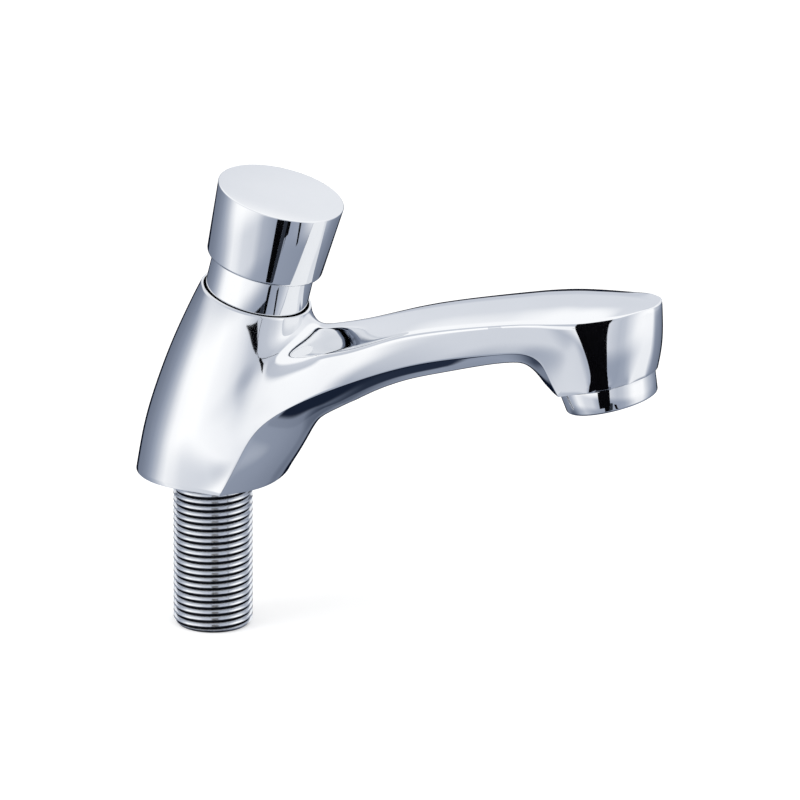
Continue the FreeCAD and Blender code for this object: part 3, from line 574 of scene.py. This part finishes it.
def crease_cage():
    """Sharp edges of the casting, stronger towards the head along the crown's edge."""
    cage = edit_mesh()
    ring, column, at = cage_layers(cage)
    layers = cage.edges.layers.float
    crease = layers.get("crease_edge") or layers.new("crease_edge")
    head = len(SPOUT)
    nose = head + len(HEAD_ANGLES) + 1
    for edge in cage.edges:
        one, two = edge.verts
        same_column = one[column] == two[column]
        rings = {one[ring], two[ring]}
        stations = sorted((one[at], two[at]))
        on_corner = same_column and abs(one[column]) == CORNER
        value = 0.0
        if stations[0] >= BORE_STATION:
            value = 1.0 if not same_column or one[at] == two[at] else 0.0
        elif stations == [0, 0] and len(rings) == 1 and rings <= {0, RIM_RING}:
            value = 1.0
        elif on_corner and max(rings) <= KEEL_RING:
            value = 1.0
        elif stations[0] >= head and rings == {KEEL_RING}:
            is_rear = stations == [head, head]
            is_front = stations == [nose, nose]
            value = 1.0 if on_corner or is_rear or is_front else 0.0
        elif rings == {TOP_RING} and stations[0] > 0:
            if on_corner:
                value = CROWN_CREASE + HEAD_CREASE_GAIN * min(1.0, stations[0] / head)
            elif stations == [nose, nose]:
                value = NOSE_CREASE
        edge[crease] = value
    refresh()


def settle(piece):
    """Move the cage until its smooth surface passes through the wanted places."""
    wanted = [vertex.co.copy() for vertex in piece.data.vertices]
    subdivision = piece.modifiers.new("settle", "SUBSURF")
    subdivision.levels = subdivision.render_levels = 1
    subdivision.use_limit_surface = True
    for _ in range(SETTLE_ROUNDS):
        smooth = piece.evaluated_get(bpy.context.evaluated_depsgraph_get())
        reached = [smooth.data.vertices[number].co.copy() for number in range(len(wanted))]
        for vertex, place, found in zip(piece.data.vertices, wanted, reached):
            vertex.co += place - found
        piece.data.update()
    piece.modifiers.remove(subdivision)


def even_out(wanted):
    """Smooth the free-form skin between its sharp edges, where the test holds."""
    bpy.ops.object.mode_set(mode="EDIT")
    bpy.ops.mesh.select_mode(type="VERT")
    bpy.ops.mesh.select_all(action="DESELECT")
    at = cage_layers(edit_mesh())[2]
    for vertex in edit_mesh().verts:
        bend = max((edge.calc_face_angle(0) for edge in vertex.link_edges), default=0)
        vertex.select_set(bend < SKIN_BEND and vertex[at] < BORE_STATION and wanted(vertex))
    refresh()
    bpy.ops.mesh.vertices_smooth(factor=0.5, repeat=SMOOTH_ROUNDS)
    bpy.ops.object.mode_set(mode="OBJECT")


def on_head_side(vertex):
    """True on the upright sides of the head."""
    return vertex.co.x > HEAD_SIDE_FROM_X * MM and abs(vertex.normal.y) > 0.5


def on_chin(vertex):
    """True on the flat that faces forward under the root of the spout."""
    low = vertex.co.x < CHIN_TO_X * MM and vertex.co.z < CHIN_TO_Z * MM
    return low and vertex.normal.x > 0.3


class AddCasting(Operator):
    """Pillar, chin, spout and head of the tap in one smooth shell with sharp edges"""
    bl_idname = "mesh.add_tap_casting"
    bl_label = "Casting"

    def execute(self, context):
        sizes = context.scene.tap_sizes
        piece = start_circle("body_casting", COLUMNS, sizes.belly_radius, 0)
        extrude_pillar(sizes)
        extrude_spout()
        sink_outlet()
        paint_bore_shade()
        crease_cage()
        bpy.ops.mesh.select_all(action="SELECT")
        bpy.ops.mesh.normals_make_consistent(inside=False)
        bpy.ops.object.mode_set(mode="OBJECT")
        settle(piece)
        apply_modifier(piece, "SUBSURF", levels=sizes.smoothness, render_levels=sizes.smoothness)
        even_out(on_head_side)
        even_out(on_chin)
        apply_modifier(piece, "BEVEL", width=sizes.edge_width, segments=2, limit_method="ANGLE",
                       angle_limit=BEVEL_BEND)
        colours = context.scene.tap_colours
        finish_piece(piece, "tap", "chrome_casting", "tap_body",
                     chrome("casting chrome", colours.chrome),
                     # The near-black bore finish is painted shade inside the casting.
                     machined("casting bore painted shade", colours.bore))
        return {"FINISHED"}


class AddButton(Operator):
    """Push button: a tapered cap with a flat top, bored to slide over the neck"""
    bl_idname = "mesh.add_tap_button"
    bl_label = "Push button"

    def execute(self, context):
        sizes = context.scene.tap_sizes
        foot, top = sizes.button_foot, sizes.button_top
        wide, narrow = sizes.button_top_radius, sizes.button_foot_radius
        bore, ceiling = 14.3 * MM, top - 2.5 * MM
        middle, top_round, foot_round = 6.0 * MM, 0.35 * MM, 1.0 * MM
        piece = turned_shell("button_cap", (
            (middle, top), (wide, top), (narrow, foot), (bore, foot), (bore, ceiling),
            (middle, ceiling)), hollow=False)
        round_circle(wide, top, top_round)
        round_circle(narrow, foot, foot_round)
        set_down(piece, TILT, (0, 0, 0))
        finish_piece(piece, "plunger", "chrome_button", "push_button",
                     chrome("button chrome", context.scene.tap_colours.chrome))
        return {"FINISHED"}


class AddNeck(Operator):
    """Polished neck sleeve that screws the cartridge down and guides the button"""
    bl_idname = "mesh.add_tap_neck"
    bl_label = "Neck sleeve"

    def execute(self, context):
        sizes = context.scene.tap_sizes
        outer, thread, bore = sizes.neck_radius, 13.5 * MM, 10.2 * MM
        seat, foot, shoulder = 12.05 * MM, 37.6 * MM, 51.0 * MM
        step, top, top_round = 47.0 * MM, sizes.neck_top, 0.5 * MM
        piece = turned_shell("neck_collar", (
            (seat, foot), (thread, foot), (thread, step), (outer, step), (outer, top),
            (bore, top), (bore, shoulder), (seat, shoulder)))
        round_circle(outer, top, top_round, segments=2)
        set_down(piece, TILT, (0, 0, 0))
        finish_piece(piece, "tap", "chrome_sleeve", "neck_sleeve",
                     chrome("neck chrome", context.scene.tap_colours.chrome))
        return {"FINISHED"}


class AddAeratorRing(Operator):
    """Tapered aerator ring with a rounded mouth, leaning with the outlet"""
    bl_idname = "mesh.add_tap_aerator"
    bl_label = "Aerator ring"

    def execute(self, context):
        sizes = context.scene.tap_sizes
        wide, narrow = sizes.ring_radius, sizes.ring_foot_radius
        foot, thread, spigot = -sizes.ring_height, 11.9 * MM, 8.0 * MM
        bore, mouth, lip = 10.35 * MM, 9.4 * MM, 0.6 * MM
        foot_round, top_round, mouth_round = 0.7 * MM, 0.2 * MM, 0.25 * MM
        piece = turned_shell("aerator_ring", (
            (mouth, foot), (narrow, foot), (wide, 0), (thread, 0), (thread, spigot),
            (bore, spigot), (bore, foot + lip), (mouth, foot + lip)))
        round_circle(narrow, foot, foot_round)
        round_circle(wide, 0, top_round, segments=2)
        round_circle(mouth, foot, mouth_round, segments=2)
        set_down(piece, -OUTLET_TILT, OUTLET * MM)
        finish_piece(piece, "tap", "chrome_aerator", "aerator_housing",
                     chrome("aerator chrome", context.scene.tap_colours.chrome))
        return {"FINISHED"}


# Finishes

# Radii of the tail's thread, in millimetres, between which the painted shade of the grooves turns
# into the painted highlight of the crests
THREAD_ROOT = 9.3
THREAD_CREST = 10.45


def add_node(tree, kind, **settings):
    """A shader node with its settings; a socket's value is given as socket_NAME."""
    node = tree.nodes.new(kind)
    for name, value in settings.items():
        if name.startswith("socket_"):
            node.inputs[name.removeprefix("socket_").replace("_", " ")].default_value = value
        else:
            setattr(node, name, value)
    return node


def calculate(tree, operation, *values):
    """A math node whose inputs are numbers or other nodes' outputs."""
    node = add_node(tree, "ShaderNodeMath", operation=operation)
    for socket, value in zip(node.inputs, values):
        if isinstance(value, (int, float)):
            socket.default_value = value
        else:
            tree.links.new(value, socket)
    return node.outputs[0]


def length_of(tree, first, second):
    """Distance from the middle for two outputs that are coordinates."""
    squares = [calculate(tree, "MULTIPLY", part, part) for part in (first, second)]
    return calculate(tree, "SQRT", calculate(tree, "ADD", *squares))


def colour_ramp(tree, factor, stops):
    """A colour ramp from (position, colour) pairs."""
    ramp = add_node(tree, "ShaderNodeValToRGB")
    elements = ramp.color_ramp.elements
    while len(elements) < len(stops):
        elements.new(0.5)
    for element, (position, colour) in zip(elements, stops):
        element.position = position
        element.color = tuple(colour) + (1,)
    tree.links.new(factor, ramp.inputs["Fac"])
    return ramp.outputs["Color"]


def new_finish(name, metallic, roughness):
    """A material with its shader, and the object coordinates that its patterns follow."""
    material = bpy.data.materials.new(name)
    material.use_nodes = True
    tree = material.node_tree
    shader = tree.nodes["Principled BSDF"]
    shader.inputs["Metallic"].default_value = metallic
    shader.inputs["Roughness"].default_value = roughness
    place = add_node(tree, "ShaderNodeTexCoord").outputs["Object"]
    return material, tree, shader, place


def noise(tree, place, scale, detail=3.0):
    """Even noise in the object's own space."""
    node = add_node(tree, "ShaderNodeTexNoise", socket_Scale=scale, socket_Detail=detail)
    tree.links.new(place, node.inputs["Vector"])
    return node.outputs["Fac"]


def shades(colour, darker, lighter):
    """Two shades of a colour for the ends of a ramp."""
    return [Vector(colour) * darker, Vector(colour) * lighter]


def link_range(tree, factor, low, high, socket):
    """Feed a socket with the factor stretched between two numbers."""
    spread = add_node(tree, "ShaderNodeMapRange", socket_To_Min=low, socket_To_Max=high)
    tree.links.new(factor, spread.inputs["Value"])
    tree.links.new(spread.outputs["Result"], socket)


def link_bump(tree, shader, height, strength, distance):
    """Let a height raise the shader's surface."""
    bump = add_node(tree, "ShaderNodeBump", socket_Strength=strength, socket_Distance=distance)
    tree.links.new(height, bump.inputs["Height"])
    tree.links.new(bump.outputs["Normal"], shader.inputs["Normal"])


def chrome(name, colour):
    """Bright plating: a bluish mirror with faint polishing haze in its roughness."""
    material, tree, shader, place = new_finish(name, 1.0, 0.04)
    dark, light = shades(colour, 0.985, 1.015)
    tint = colour_ramp(tree, noise(tree, place, 55.0), ((0.3, dark), (0.7, light)))
    tree.links.new(tint, shader.inputs["Base Color"])
    haze = noise(tree, place, 160.0, detail=5.0)
    link_range(tree, haze, 0.02, 0.06, shader.inputs["Roughness"])
    return material


def threaded_chrome_painted_light(name, colours):
    """Plating on the thread, with painted shade that blackens the grooves and painted highlight
    that brightens flanks and crests.
    """
    material, tree, shader, place = new_finish(name, 0.85, 0.1)
    parts = add_node(tree, "ShaderNodeSeparateXYZ")
    tree.links.new(place, parts.inputs[0])
    radius = length_of(tree, parts.outputs["X"], parts.outputs["Y"])
    height = add_node(tree, "ShaderNodeMapRange", socket_From_Min=THREAD_ROOT * MM,
                      socket_From_Max=THREAD_CREST * MM)
    tree.links.new(radius, height.inputs["Value"])
    share = height.outputs["Result"]
    # Painted highlight: flanks and crests are lighter than the other chrome. Painted shade: by
    # radius, the grooves turn near black.
    flank, crest_highlight = shades(colours.chrome, 1.08, 1.12)
    stops = ((0.4, colours.groove_shade), (0.54, flank), (1.0, crest_highlight))
    tree.links.new(colour_ramp(tree, share, stops), shader.inputs["Base Color"])
    link_range(tree, share, 0.3, 0.12, shader.inputs["Roughness"])
    link_bump(tree, shader, noise(tree, place, 900.0), 0.1, 0.05 * MM)
    return material


def machined(name, colour):
    """Turned or drawn metal with a fine dull grain."""
    material, tree, shader, place = new_finish(name, 1.0, 0.25)
    dark, light = shades(colour, 0.85, 1.05)
    grain = noise(tree, place, 700.0, detail=6.0)
    tint = colour_ramp(tree, grain, ((0.35, dark), (0.65, light)))
    tree.links.new(tint, shader.inputs["Base Color"])
    link_range(tree, grain, 0.18, 0.4, shader.inputs["Roughness"])
    link_bump(tree, shader, grain, 0.15, 0.05 * MM)
    return material


def moulded(name, colour, roughness):
    """Moulded rubber or plastic with a fine matt skin."""
    material, tree, shader, place = new_finish(name, 0.0, roughness)
    dark, light = shades(colour, 0.85, 1.1)
    mottle = noise(tree, place, 400.0)
    tint = colour_ramp(tree, mottle, ((0.3, dark), (0.7, light)))
    tree.links.new(tint, shader.inputs["Base Color"])
    link_range(tree, mottle, roughness - 0.08, roughness + 0.08, shader.inputs["Roughness"])
    link_bump(tree, shader, noise(tree, place, 2500.0), 0.1, 0.03 * MM)
    return material


class AddReturnSpring(Operator):
    """Return spring: round wire in even coils"""
    bl_idname = "mesh.add_tap_return_spring"
    bl_label = "Return spring"

    def execute(self, context):
        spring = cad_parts["return_spring"]
        levels = [vertex.co.dot(LEAN) for vertex in spring.data.vertices]
        low, high = min(levels), max(levels)
        wire, radius, turns, sides, steps = 0.6 * MM, 6.8 * MM, 7, 12, 32
        deselect_everything()
        bpy.ops.mesh.primitive_circle_add(vertices=sides, radius=wire, location=(radius, 0, wire),
                                          rotation=(math.pi / 2, 0, 0))
        piece = context.object
        piece.name = "return_coil"
        bpy.ops.object.transform_apply(location=True, rotation=True, scale=True)
        apply_modifier(piece, "SCREW", iterations=turns, steps=steps, render_steps=steps,
                       screw_offset=(high - low - 2 * wire) / turns)
        bpy.ops.object.mode_set(mode="EDIT")
        select_edges(lambda edge: edge.is_boundary)
        bpy.ops.mesh.fill_holes(sides=0)
        bpy.ops.mesh.select_all(action="SELECT")
        bpy.ops.mesh.normals_make_consistent(inside=False)
        set_down(piece, TILT, low * LEAN)
        finish_piece(piece, "tap", "steel", "return_spring",
                     machined("spring steel", context.scene.tap_colours.steel))
        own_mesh(piece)
        return {"FINISHED"}


class DressInnerPieces(Operator):
    """Finishes of the CAD pieces that stay: thread, cartridge, seals and outlet"""
    bl_idname = "object.dress_tap_inner_pieces"
    bl_label = "Inner pieces"

    def execute(self, context):
        colours = context.scene.tap_colours
        rubber = moulded("black rubber", colours.rubber, 0.6)
        plastic = moulded("cartridge plastic", colours.cartridge, 0.4)
        outlet = moulded("outlet plastic", colours.outlet, 0.35)
        brass = machined("turned brass", colours.brass)
        steel = machined("stainless steel", colours.steel)
        finishes = {
            threaded_chrome_painted_light("threaded chrome painted light", colours): ("tail_shank",),
            moulded("deck rubber", colours.deck_rubber, 0.7): ("deck_seal",),
            rubber: ("bonnet_gasket", "housing_seal", "seat_gasket", "spindle_seals", "tail_seal",
                     "aerator_gasket", "piston_cup_seal", "valve_washer"),
            plastic: ("cartridge_housing", "cartridge_gland", "timing_piston"),
            outlet: ("flow_straightener", "diffuser_disc", "inlet_strainer"),
            brass: ("valve_seat", "button_insert", "spindle", "washer_holder", "washer_nut"),
            steel: ("piston_clip", "lower_screen", "upper_screen"),
        }
        for material, names in finishes.items():
            for name in names:
                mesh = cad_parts[name].data
                mesh.materials.clear()
                mesh.materials.append(material)
        return {"FINISHED"}


# Stage: camera, floor, soft light and the studio that the chrome mirrors

CAMERA_TURN = math.radians(19.0)
CAMERA_RISE = math.radians(19.3)
CAMERA_DISTANCE = 10.0
CAMERA_LENS = 1705.5
SENSOR_WIDTH = 36
CLIP_END = 40
BACK = Vector((math.sin(CAMERA_TURN) * math.cos(CAMERA_RISE),
               -math.cos(CAMERA_TURN) * math.cos(CAMERA_RISE), math.sin(CAMERA_RISE)))
LEVEL_BACK = Vector((BACK.x, BACK.y, 0)).normalized()
RIGHT = Vector((math.cos(CAMERA_TURN), math.sin(CAMERA_TURN), 0))
UP = BACK.cross(RIGHT)
TARGET = RIGHT * 49.34 * MM + UP * 17.68 * MM
FLOOR_Z = -43.1 * MM
FLOOR_SIZE = 6

# Soft lamps: place, size of the square in metres, power in watts
LAMPS = {
    "key softbox": ((-0.9, -0.9, 1.3), 1.0, 9.0),
    "fill softbox": ((1.2, -0.6, 1.0), 1.0, 5.0),
}
PLAIN_LIGHT = 0.75
FLOOR_GLOW = 0.4

# What the chrome mirrors in five belts of the studio: degrees to the right of the camera and
# the grey that shows there, from 0 for black to 255 for white. Most of these greys follow what
# the photograph shows in the same direction.
HIGH_BELT = (
    (-180, 213), (-165, 218), (-130, 228), (-90, 216), (-60, 208), (-40, 196), (-10, 190),
    (30, 200), (60, 236), (110, 226), (150, 232), (168, 230), (180, 213),
)
EYE_BELT = (
    (-180, 198), (-169, 185), (-162, 120), (-150, 120), (-135, 130), (-120, 145), (-110, 165),
    (-100, 192), (-90, 230), (-82, 250), (-70, 255), (-46, 255), (-36, 248), (-20, 240), (-5, 224),
    (8, 202), (20, 190), (32, 196), (45, 220), (55, 244), (62, 252), (88, 250), (98, 220),
    (110, 190), (125, 165), (140, 140), (160, 124), (168, 180), (180, 198),
)
LOW_BELT = (
    (-180, 150), (-165, 124), (-140, 126), (-125, 138), (-110, 158), (-98, 182), (-88, 215),
    (-80, 238), (-70, 232), (-60, 216), (-50, 213), (-40, 210), (-28, 178), (-5, 160), (25, 157),
    (38, 165), (48, 184), (58, 214), (68, 236), (86, 236), (96, 206), (108, 168), (120, 142),
    (140, 126), (165, 116), (180, 150),
)
UNDER_BELT = (
    (-180, 150), (-168, 106), (-158, 68), (-130, 58), (-110, 115), (-90, 168), (-70, 194),
    (-55, 180), (-40, 163), (0, 154), (50, 148), (100, 138), (130, 132), (150, 105), (164, 96),
    (180, 150),
)
DEEP_BELT = (
    (-180, 44), (-150, 38), (-125, 44), (-100, 96), (-70, 138), (-40, 148), (0, 144), (40, 139),
    (80, 133), (118, 128), (134, 122), (148, 86), (162, 48), (180, 44),
)
OVERHEAD, UNDERFOOT, OUTLINE = 248, 34, 16
# Heights, in degrees above the horizon, between which one belt turns into the next
TURNS = ((-73, -68), (-61, -56), (-42, -32), (-21, -9), (3, 12), (30, 42))
# Half width and half height of the dark oval behind the tap, and where its soft edge starts
OVAL_HALF_WIDTH = 0.44
OVAL_HALF_HEIGHT = 0.28
OVAL_CORE = 0.8

# Share of the light that the chrome gives back
MIRRORED = 0.86
MOST_BLUE = 11.0
BLUE_SHARE = 0.11


def shown(level):
    """Colour that makes the chrome show this grey, a little bluer where it is darker."""
    blue = min(MOST_BLUE, BLUE_SHARE * (255 - level))
    tinted = (level - blue, level - 0.25 * blue, level + 1.25 * blue)
    return [linear(max(part, 0) / 255) / MIRRORED for part in tinted]


def linear(part):
    """Linear light of a part of a display colour."""
    return ((part + 0.055) / 1.055) ** 2.4


def studio_world(world):
    """White to the camera, plain light to the scene, a graded studio to the chrome."""
    world.use_nodes = True
    tree = world.node_tree
    tree.nodes.clear()
    direction = add_node(tree, "ShaderNodeTexCoord").outputs["Generated"]

    def along(axis):
        """How far the direction points along an axis."""
        node = add_node(tree, "ShaderNodeVectorMath", operation="DOT_PRODUCT")
        tree.links.new(direction, node.inputs[0])
        node.inputs[1].default_value = axis
        return node.outputs["Value"]

    def step(value, low, high):
        """A smooth step from 0 at low to 1 at high."""
        node = add_node(tree, "ShaderNodeMapRange", interpolation_type="SMOOTHSTEP",
                        socket_From_Min=low, socket_From_Max=high)
        tree.links.new(value, node.inputs["Value"])
        return node.outputs["Result"]

    def blend(factor, first, second):
        """A mix of two colours, each a list or another node's output."""
        mix = add_node(tree, "ShaderNodeMix", data_type="RGBA")
        tree.links.new(factor, mix.inputs["Factor"])
        for name, colour in (("A", first), ("B", second)):
            if isinstance(colour, list):
                mix.inputs[name].default_value = colour + [1]
            else:
                tree.links.new(colour, mix.inputs[name])
        return mix.outputs["Result"]

    turn = calculate(tree, "ARCTAN2", along(RIGHT), along(LEVEL_BACK))
    share = calculate(tree, "MULTIPLY_ADD", turn, 1 / (2 * math.pi), 0.5)
    belts = [
        colour_ramp(tree, share, [((degrees + 180) / 360, shown(grey)) for degrees, grey in belt])
        for belt in (DEEP_BELT, UNDER_BELT, LOW_BELT, EYE_BELT, HIGH_BELT)]
    studio = shown(UNDERFOOT)
    for limits, belt in zip(TURNS, belts + [shown(OVERHEAD)]):
        low, high = [math.sin(math.radians(limit)) for limit in limits]
        studio = blend(step(along((0, 0, 1)), low, high), studio, belt)

    # Straight behind the tap lies a flat dark oval, which draws the thin outlines
    aside = calculate(tree, "DIVIDE", along(RIGHT), OVAL_HALF_WIDTH)
    upward = calculate(tree, "DIVIDE", along(UP), OVAL_HALF_HEIGHT)
    behind = calculate(tree, "MULTIPLY", step(length_of(tree, aside, upward), 1.0, OVAL_CORE),
                       calculate(tree, "GREATER_THAN", along(-BACK), 0.0))
    edge = blend(behind, studio, shown(OUTLINE))

    def pick(factor, first, second):
        """The first shader where the factor is 0, the second where it is 1."""
        mix = add_node(tree, "ShaderNodeMixShader")
        for socket, output in zip(mix.inputs, (factor, first.outputs[0], second.outputs[0])):
            tree.links.new(output, socket)
        return mix

    rays = add_node(tree, "ShaderNodeLightPath").outputs
    mirrored_studio = add_node(tree, "ShaderNodeBackground", socket_Strength=1.0)
    tree.links.new(edge, mirrored_studio.inputs["Color"])
    white = {"socket_Color": (1, 1, 1, 1)}
    plain = add_node(tree, "ShaderNodeBackground", socket_Strength=PLAIN_LIGHT, **white)
    backdrop = add_node(tree, "ShaderNodeBackground", socket_Strength=1.0, **white)
    lit = pick(rays["Is Glossy Ray"], plain, mirrored_studio)
    direct = calculate(tree, "MAXIMUM", rays["Is Camera Ray"], rays["Is Transmission Ray"])
    surface = add_node(tree, "ShaderNodeOutputWorld")
    tree.links.new(pick(direct, lit, backdrop).outputs[0], surface.inputs["Surface"])


def floor_material():
    """A pale floor that reads white to the camera and keeps the tap's soft shadow."""
    material = bpy.data.materials.new("pale floor")
    material.use_nodes = True
    tree = material.node_tree
    shader = tree.nodes["Principled BSDF"]
    shader.inputs["Roughness"].default_value = 0.9
    shader.inputs["Base Color"].default_value = (0.8, 0.8, 0.8, 1)
    shader.inputs["Emission Color"].default_value = (1, 1, 1, 1)
    rays = add_node(tree, "ShaderNodeLightPath")
    glow = calculate(tree, "MULTIPLY", rays.outputs["Is Camera Ray"], FLOOR_GLOW)
    tree.links.new(glow, shader.inputs["Emission Strength"])
    return material


# Dark cards seen only in the chrome: how bright each shows, and its corners, each to the right
# of the pillar, in front of it and above the deck, all in millimetres
FLAGS = {
    "flag_low": (0, ((-31, 800, -900), (110, 800, -900), (120, 800, -272), (-61, 800, -272))),
    "flag_slate": (
        0.035, ((111, 801, -900), (199, 801, -900), (229, 801, -272), (121, 801, -272))),
    "flag_head": (0, ((56, 150, -45), (120, 332, -110), (120, 332, 210), (56, 150, 125))),
    "flag_slit": (0, ((-35, 317, 44), (70, 317, 22), (118, 317, -8), (105, 317, -16))),
    "flag_neck": (0, ((60, 186, -44), (80, 186, -44), (78, 186, 2), (60, 186, 2))),
    "flag_line": (0, ((178, 186, -125), (192, 186, -125), (150, 186, -28), (134, 186, -28))),
}


def add_flag(name, glow, corners):
    """A dark card that only shows in reflections."""
    deselect_everything()
    bpy.ops.mesh.primitive_plane_add(size=1, location=(0, 0, 0))
    flag = bpy.context.object
    flag.name = flag.data.name = name
    for number, (aside, forward, height) in zip(flag.data.polygons[0].vertices, corners):
        place = RIGHT * aside + LEVEL_BACK * forward + Vector((0, 0, height))
        flag.data.vertices[number].co = place * MM
    material = bpy.data.materials.new(name)
    material.use_nodes = True
    shader = material.node_tree.nodes["Principled BSDF"]
    shader.inputs["Base Color"].default_value = (0.003, 0.003, 0.004, 1)
    shader.inputs["Specular IOR Level"].default_value = 0.0
    shader.inputs["Emission Color"].default_value = (0.7, 0.85, 1.2, 1)
    shader.inputs["Emission Strength"].default_value = glow
    flag.data.materials.append(material)
    hide_from_all_but_chrome(flag)


def hide_from_all_but_chrome(thing):
    """Let only glossy rays meet a thing."""
    for kind in ("camera", "diffuse", "transmission", "shadow", "volume_scatter"):
        setattr(thing, "visible_" + kind, False)


class AddStage(Operator):
    """Camera, pale floor, soft lamps and the studio round the tap"""
    bl_idname = "object.add_tap_stage"
    bl_label = "Stage"

    def execute(self, context):
        scene = context.scene
        scene.view_settings.view_transform = "Standard"
        lens = bpy.data.cameras.new("photo camera")
        lens.lens = CAMERA_LENS
        lens.sensor_width = SENSOR_WIDTH
        lens.clip_end = CLIP_END
        camera = bpy.data.objects.new("photo camera", lens)
        scene.collection.objects.link(camera)
        camera.matrix_world = (Matrix.Translation(TARGET + BACK * CAMERA_DISTANCE)
                               @ Matrix((RIGHT, UP, BACK)).transposed().to_4x4())
        scene.camera = camera

        deselect_everything()
        bpy.ops.mesh.primitive_plane_add(size=FLOOR_SIZE, location=(0, 0, FLOOR_Z))
        floor = bpy.context.object
        floor.name = floor.data.name = "floor"
        floor.data.materials.append(floor_material())
        floor.visible_glossy = False

        for name, (glow, corners) in FLAGS.items():
            add_flag(name, glow, corners)

        for name, (place, size, power) in LAMPS.items():
            lamp = bpy.data.lights.new(name, "AREA")
            lamp.size = size
            lamp.energy = power
            holder = bpy.data.objects.new(name, lamp)
            scene.collection.objects.link(holder)
            aim = (Vector(place) - TARGET).to_track_quat("Z", "Y").to_matrix()
            holder.matrix_world = Matrix.Translation(place) @ aim.to_4x4()
            holder.visible_glossy = False

        world = bpy.data.worlds.new("studio")
        studio_world(world)
        scene.world = world
        return {"FINISHED"}


class TapPanel(Panel):
    """Lists the pieces of the tap and its stage"""
    bl_idname = "VIEW3D_PT_basin_tap"
    bl_label = "Basin Tap"
    bl_space_type = "VIEW_3D"
    bl_region_type = "UI"
    bl_category = "Basin Tap"

    def draw(self, context):
        for operator in OPERATORS:
            self.layout.operator(operator.bl_idname)
        for group in (context.scene.tap_sizes, context.scene.tap_colours):
            for name in group.__annotations__:
                self.layout.prop(group, name)


OPERATORS = (AddCasting, AddNeck, AddButton, AddAeratorRing, AddReturnSpring, DressInnerPieces,
             AddStage)
CLASSES = (TapSizes, TapColours) + OPERATORS + (TapPanel,)


def register():
    """Make the sizes, colours, operators and panel known to Blender."""
    for item in CLASSES:
        bpy.utils.register_class(item)
    bpy.types.Scene.tap_sizes = PointerProperty(type=TapSizes)
    bpy.types.Scene.tap_colours = PointerProperty(type=TapColours)


def unregister():
    """Take back all that register made known."""
    del bpy.types.Scene.tap_sizes
    del bpy.types.Scene.tap_colours
    for item in reversed(CLASSES):
        bpy.utils.unregister_class(item)


def main():
    """Build the tap and its stage."""
    register()
    bpy.ops.mesh.add_tap_casting()
    bpy.ops.mesh.add_tap_neck()
    bpy.ops.mesh.add_tap_button()
    bpy.ops.mesh.add_tap_aerator()
    bpy.ops.mesh.add_tap_return_spring()
    bpy.ops.object.dress_tap_inner_pieces()
    bpy.ops.object.add_tap_stage()


if __name__ == "__main__":
    main()
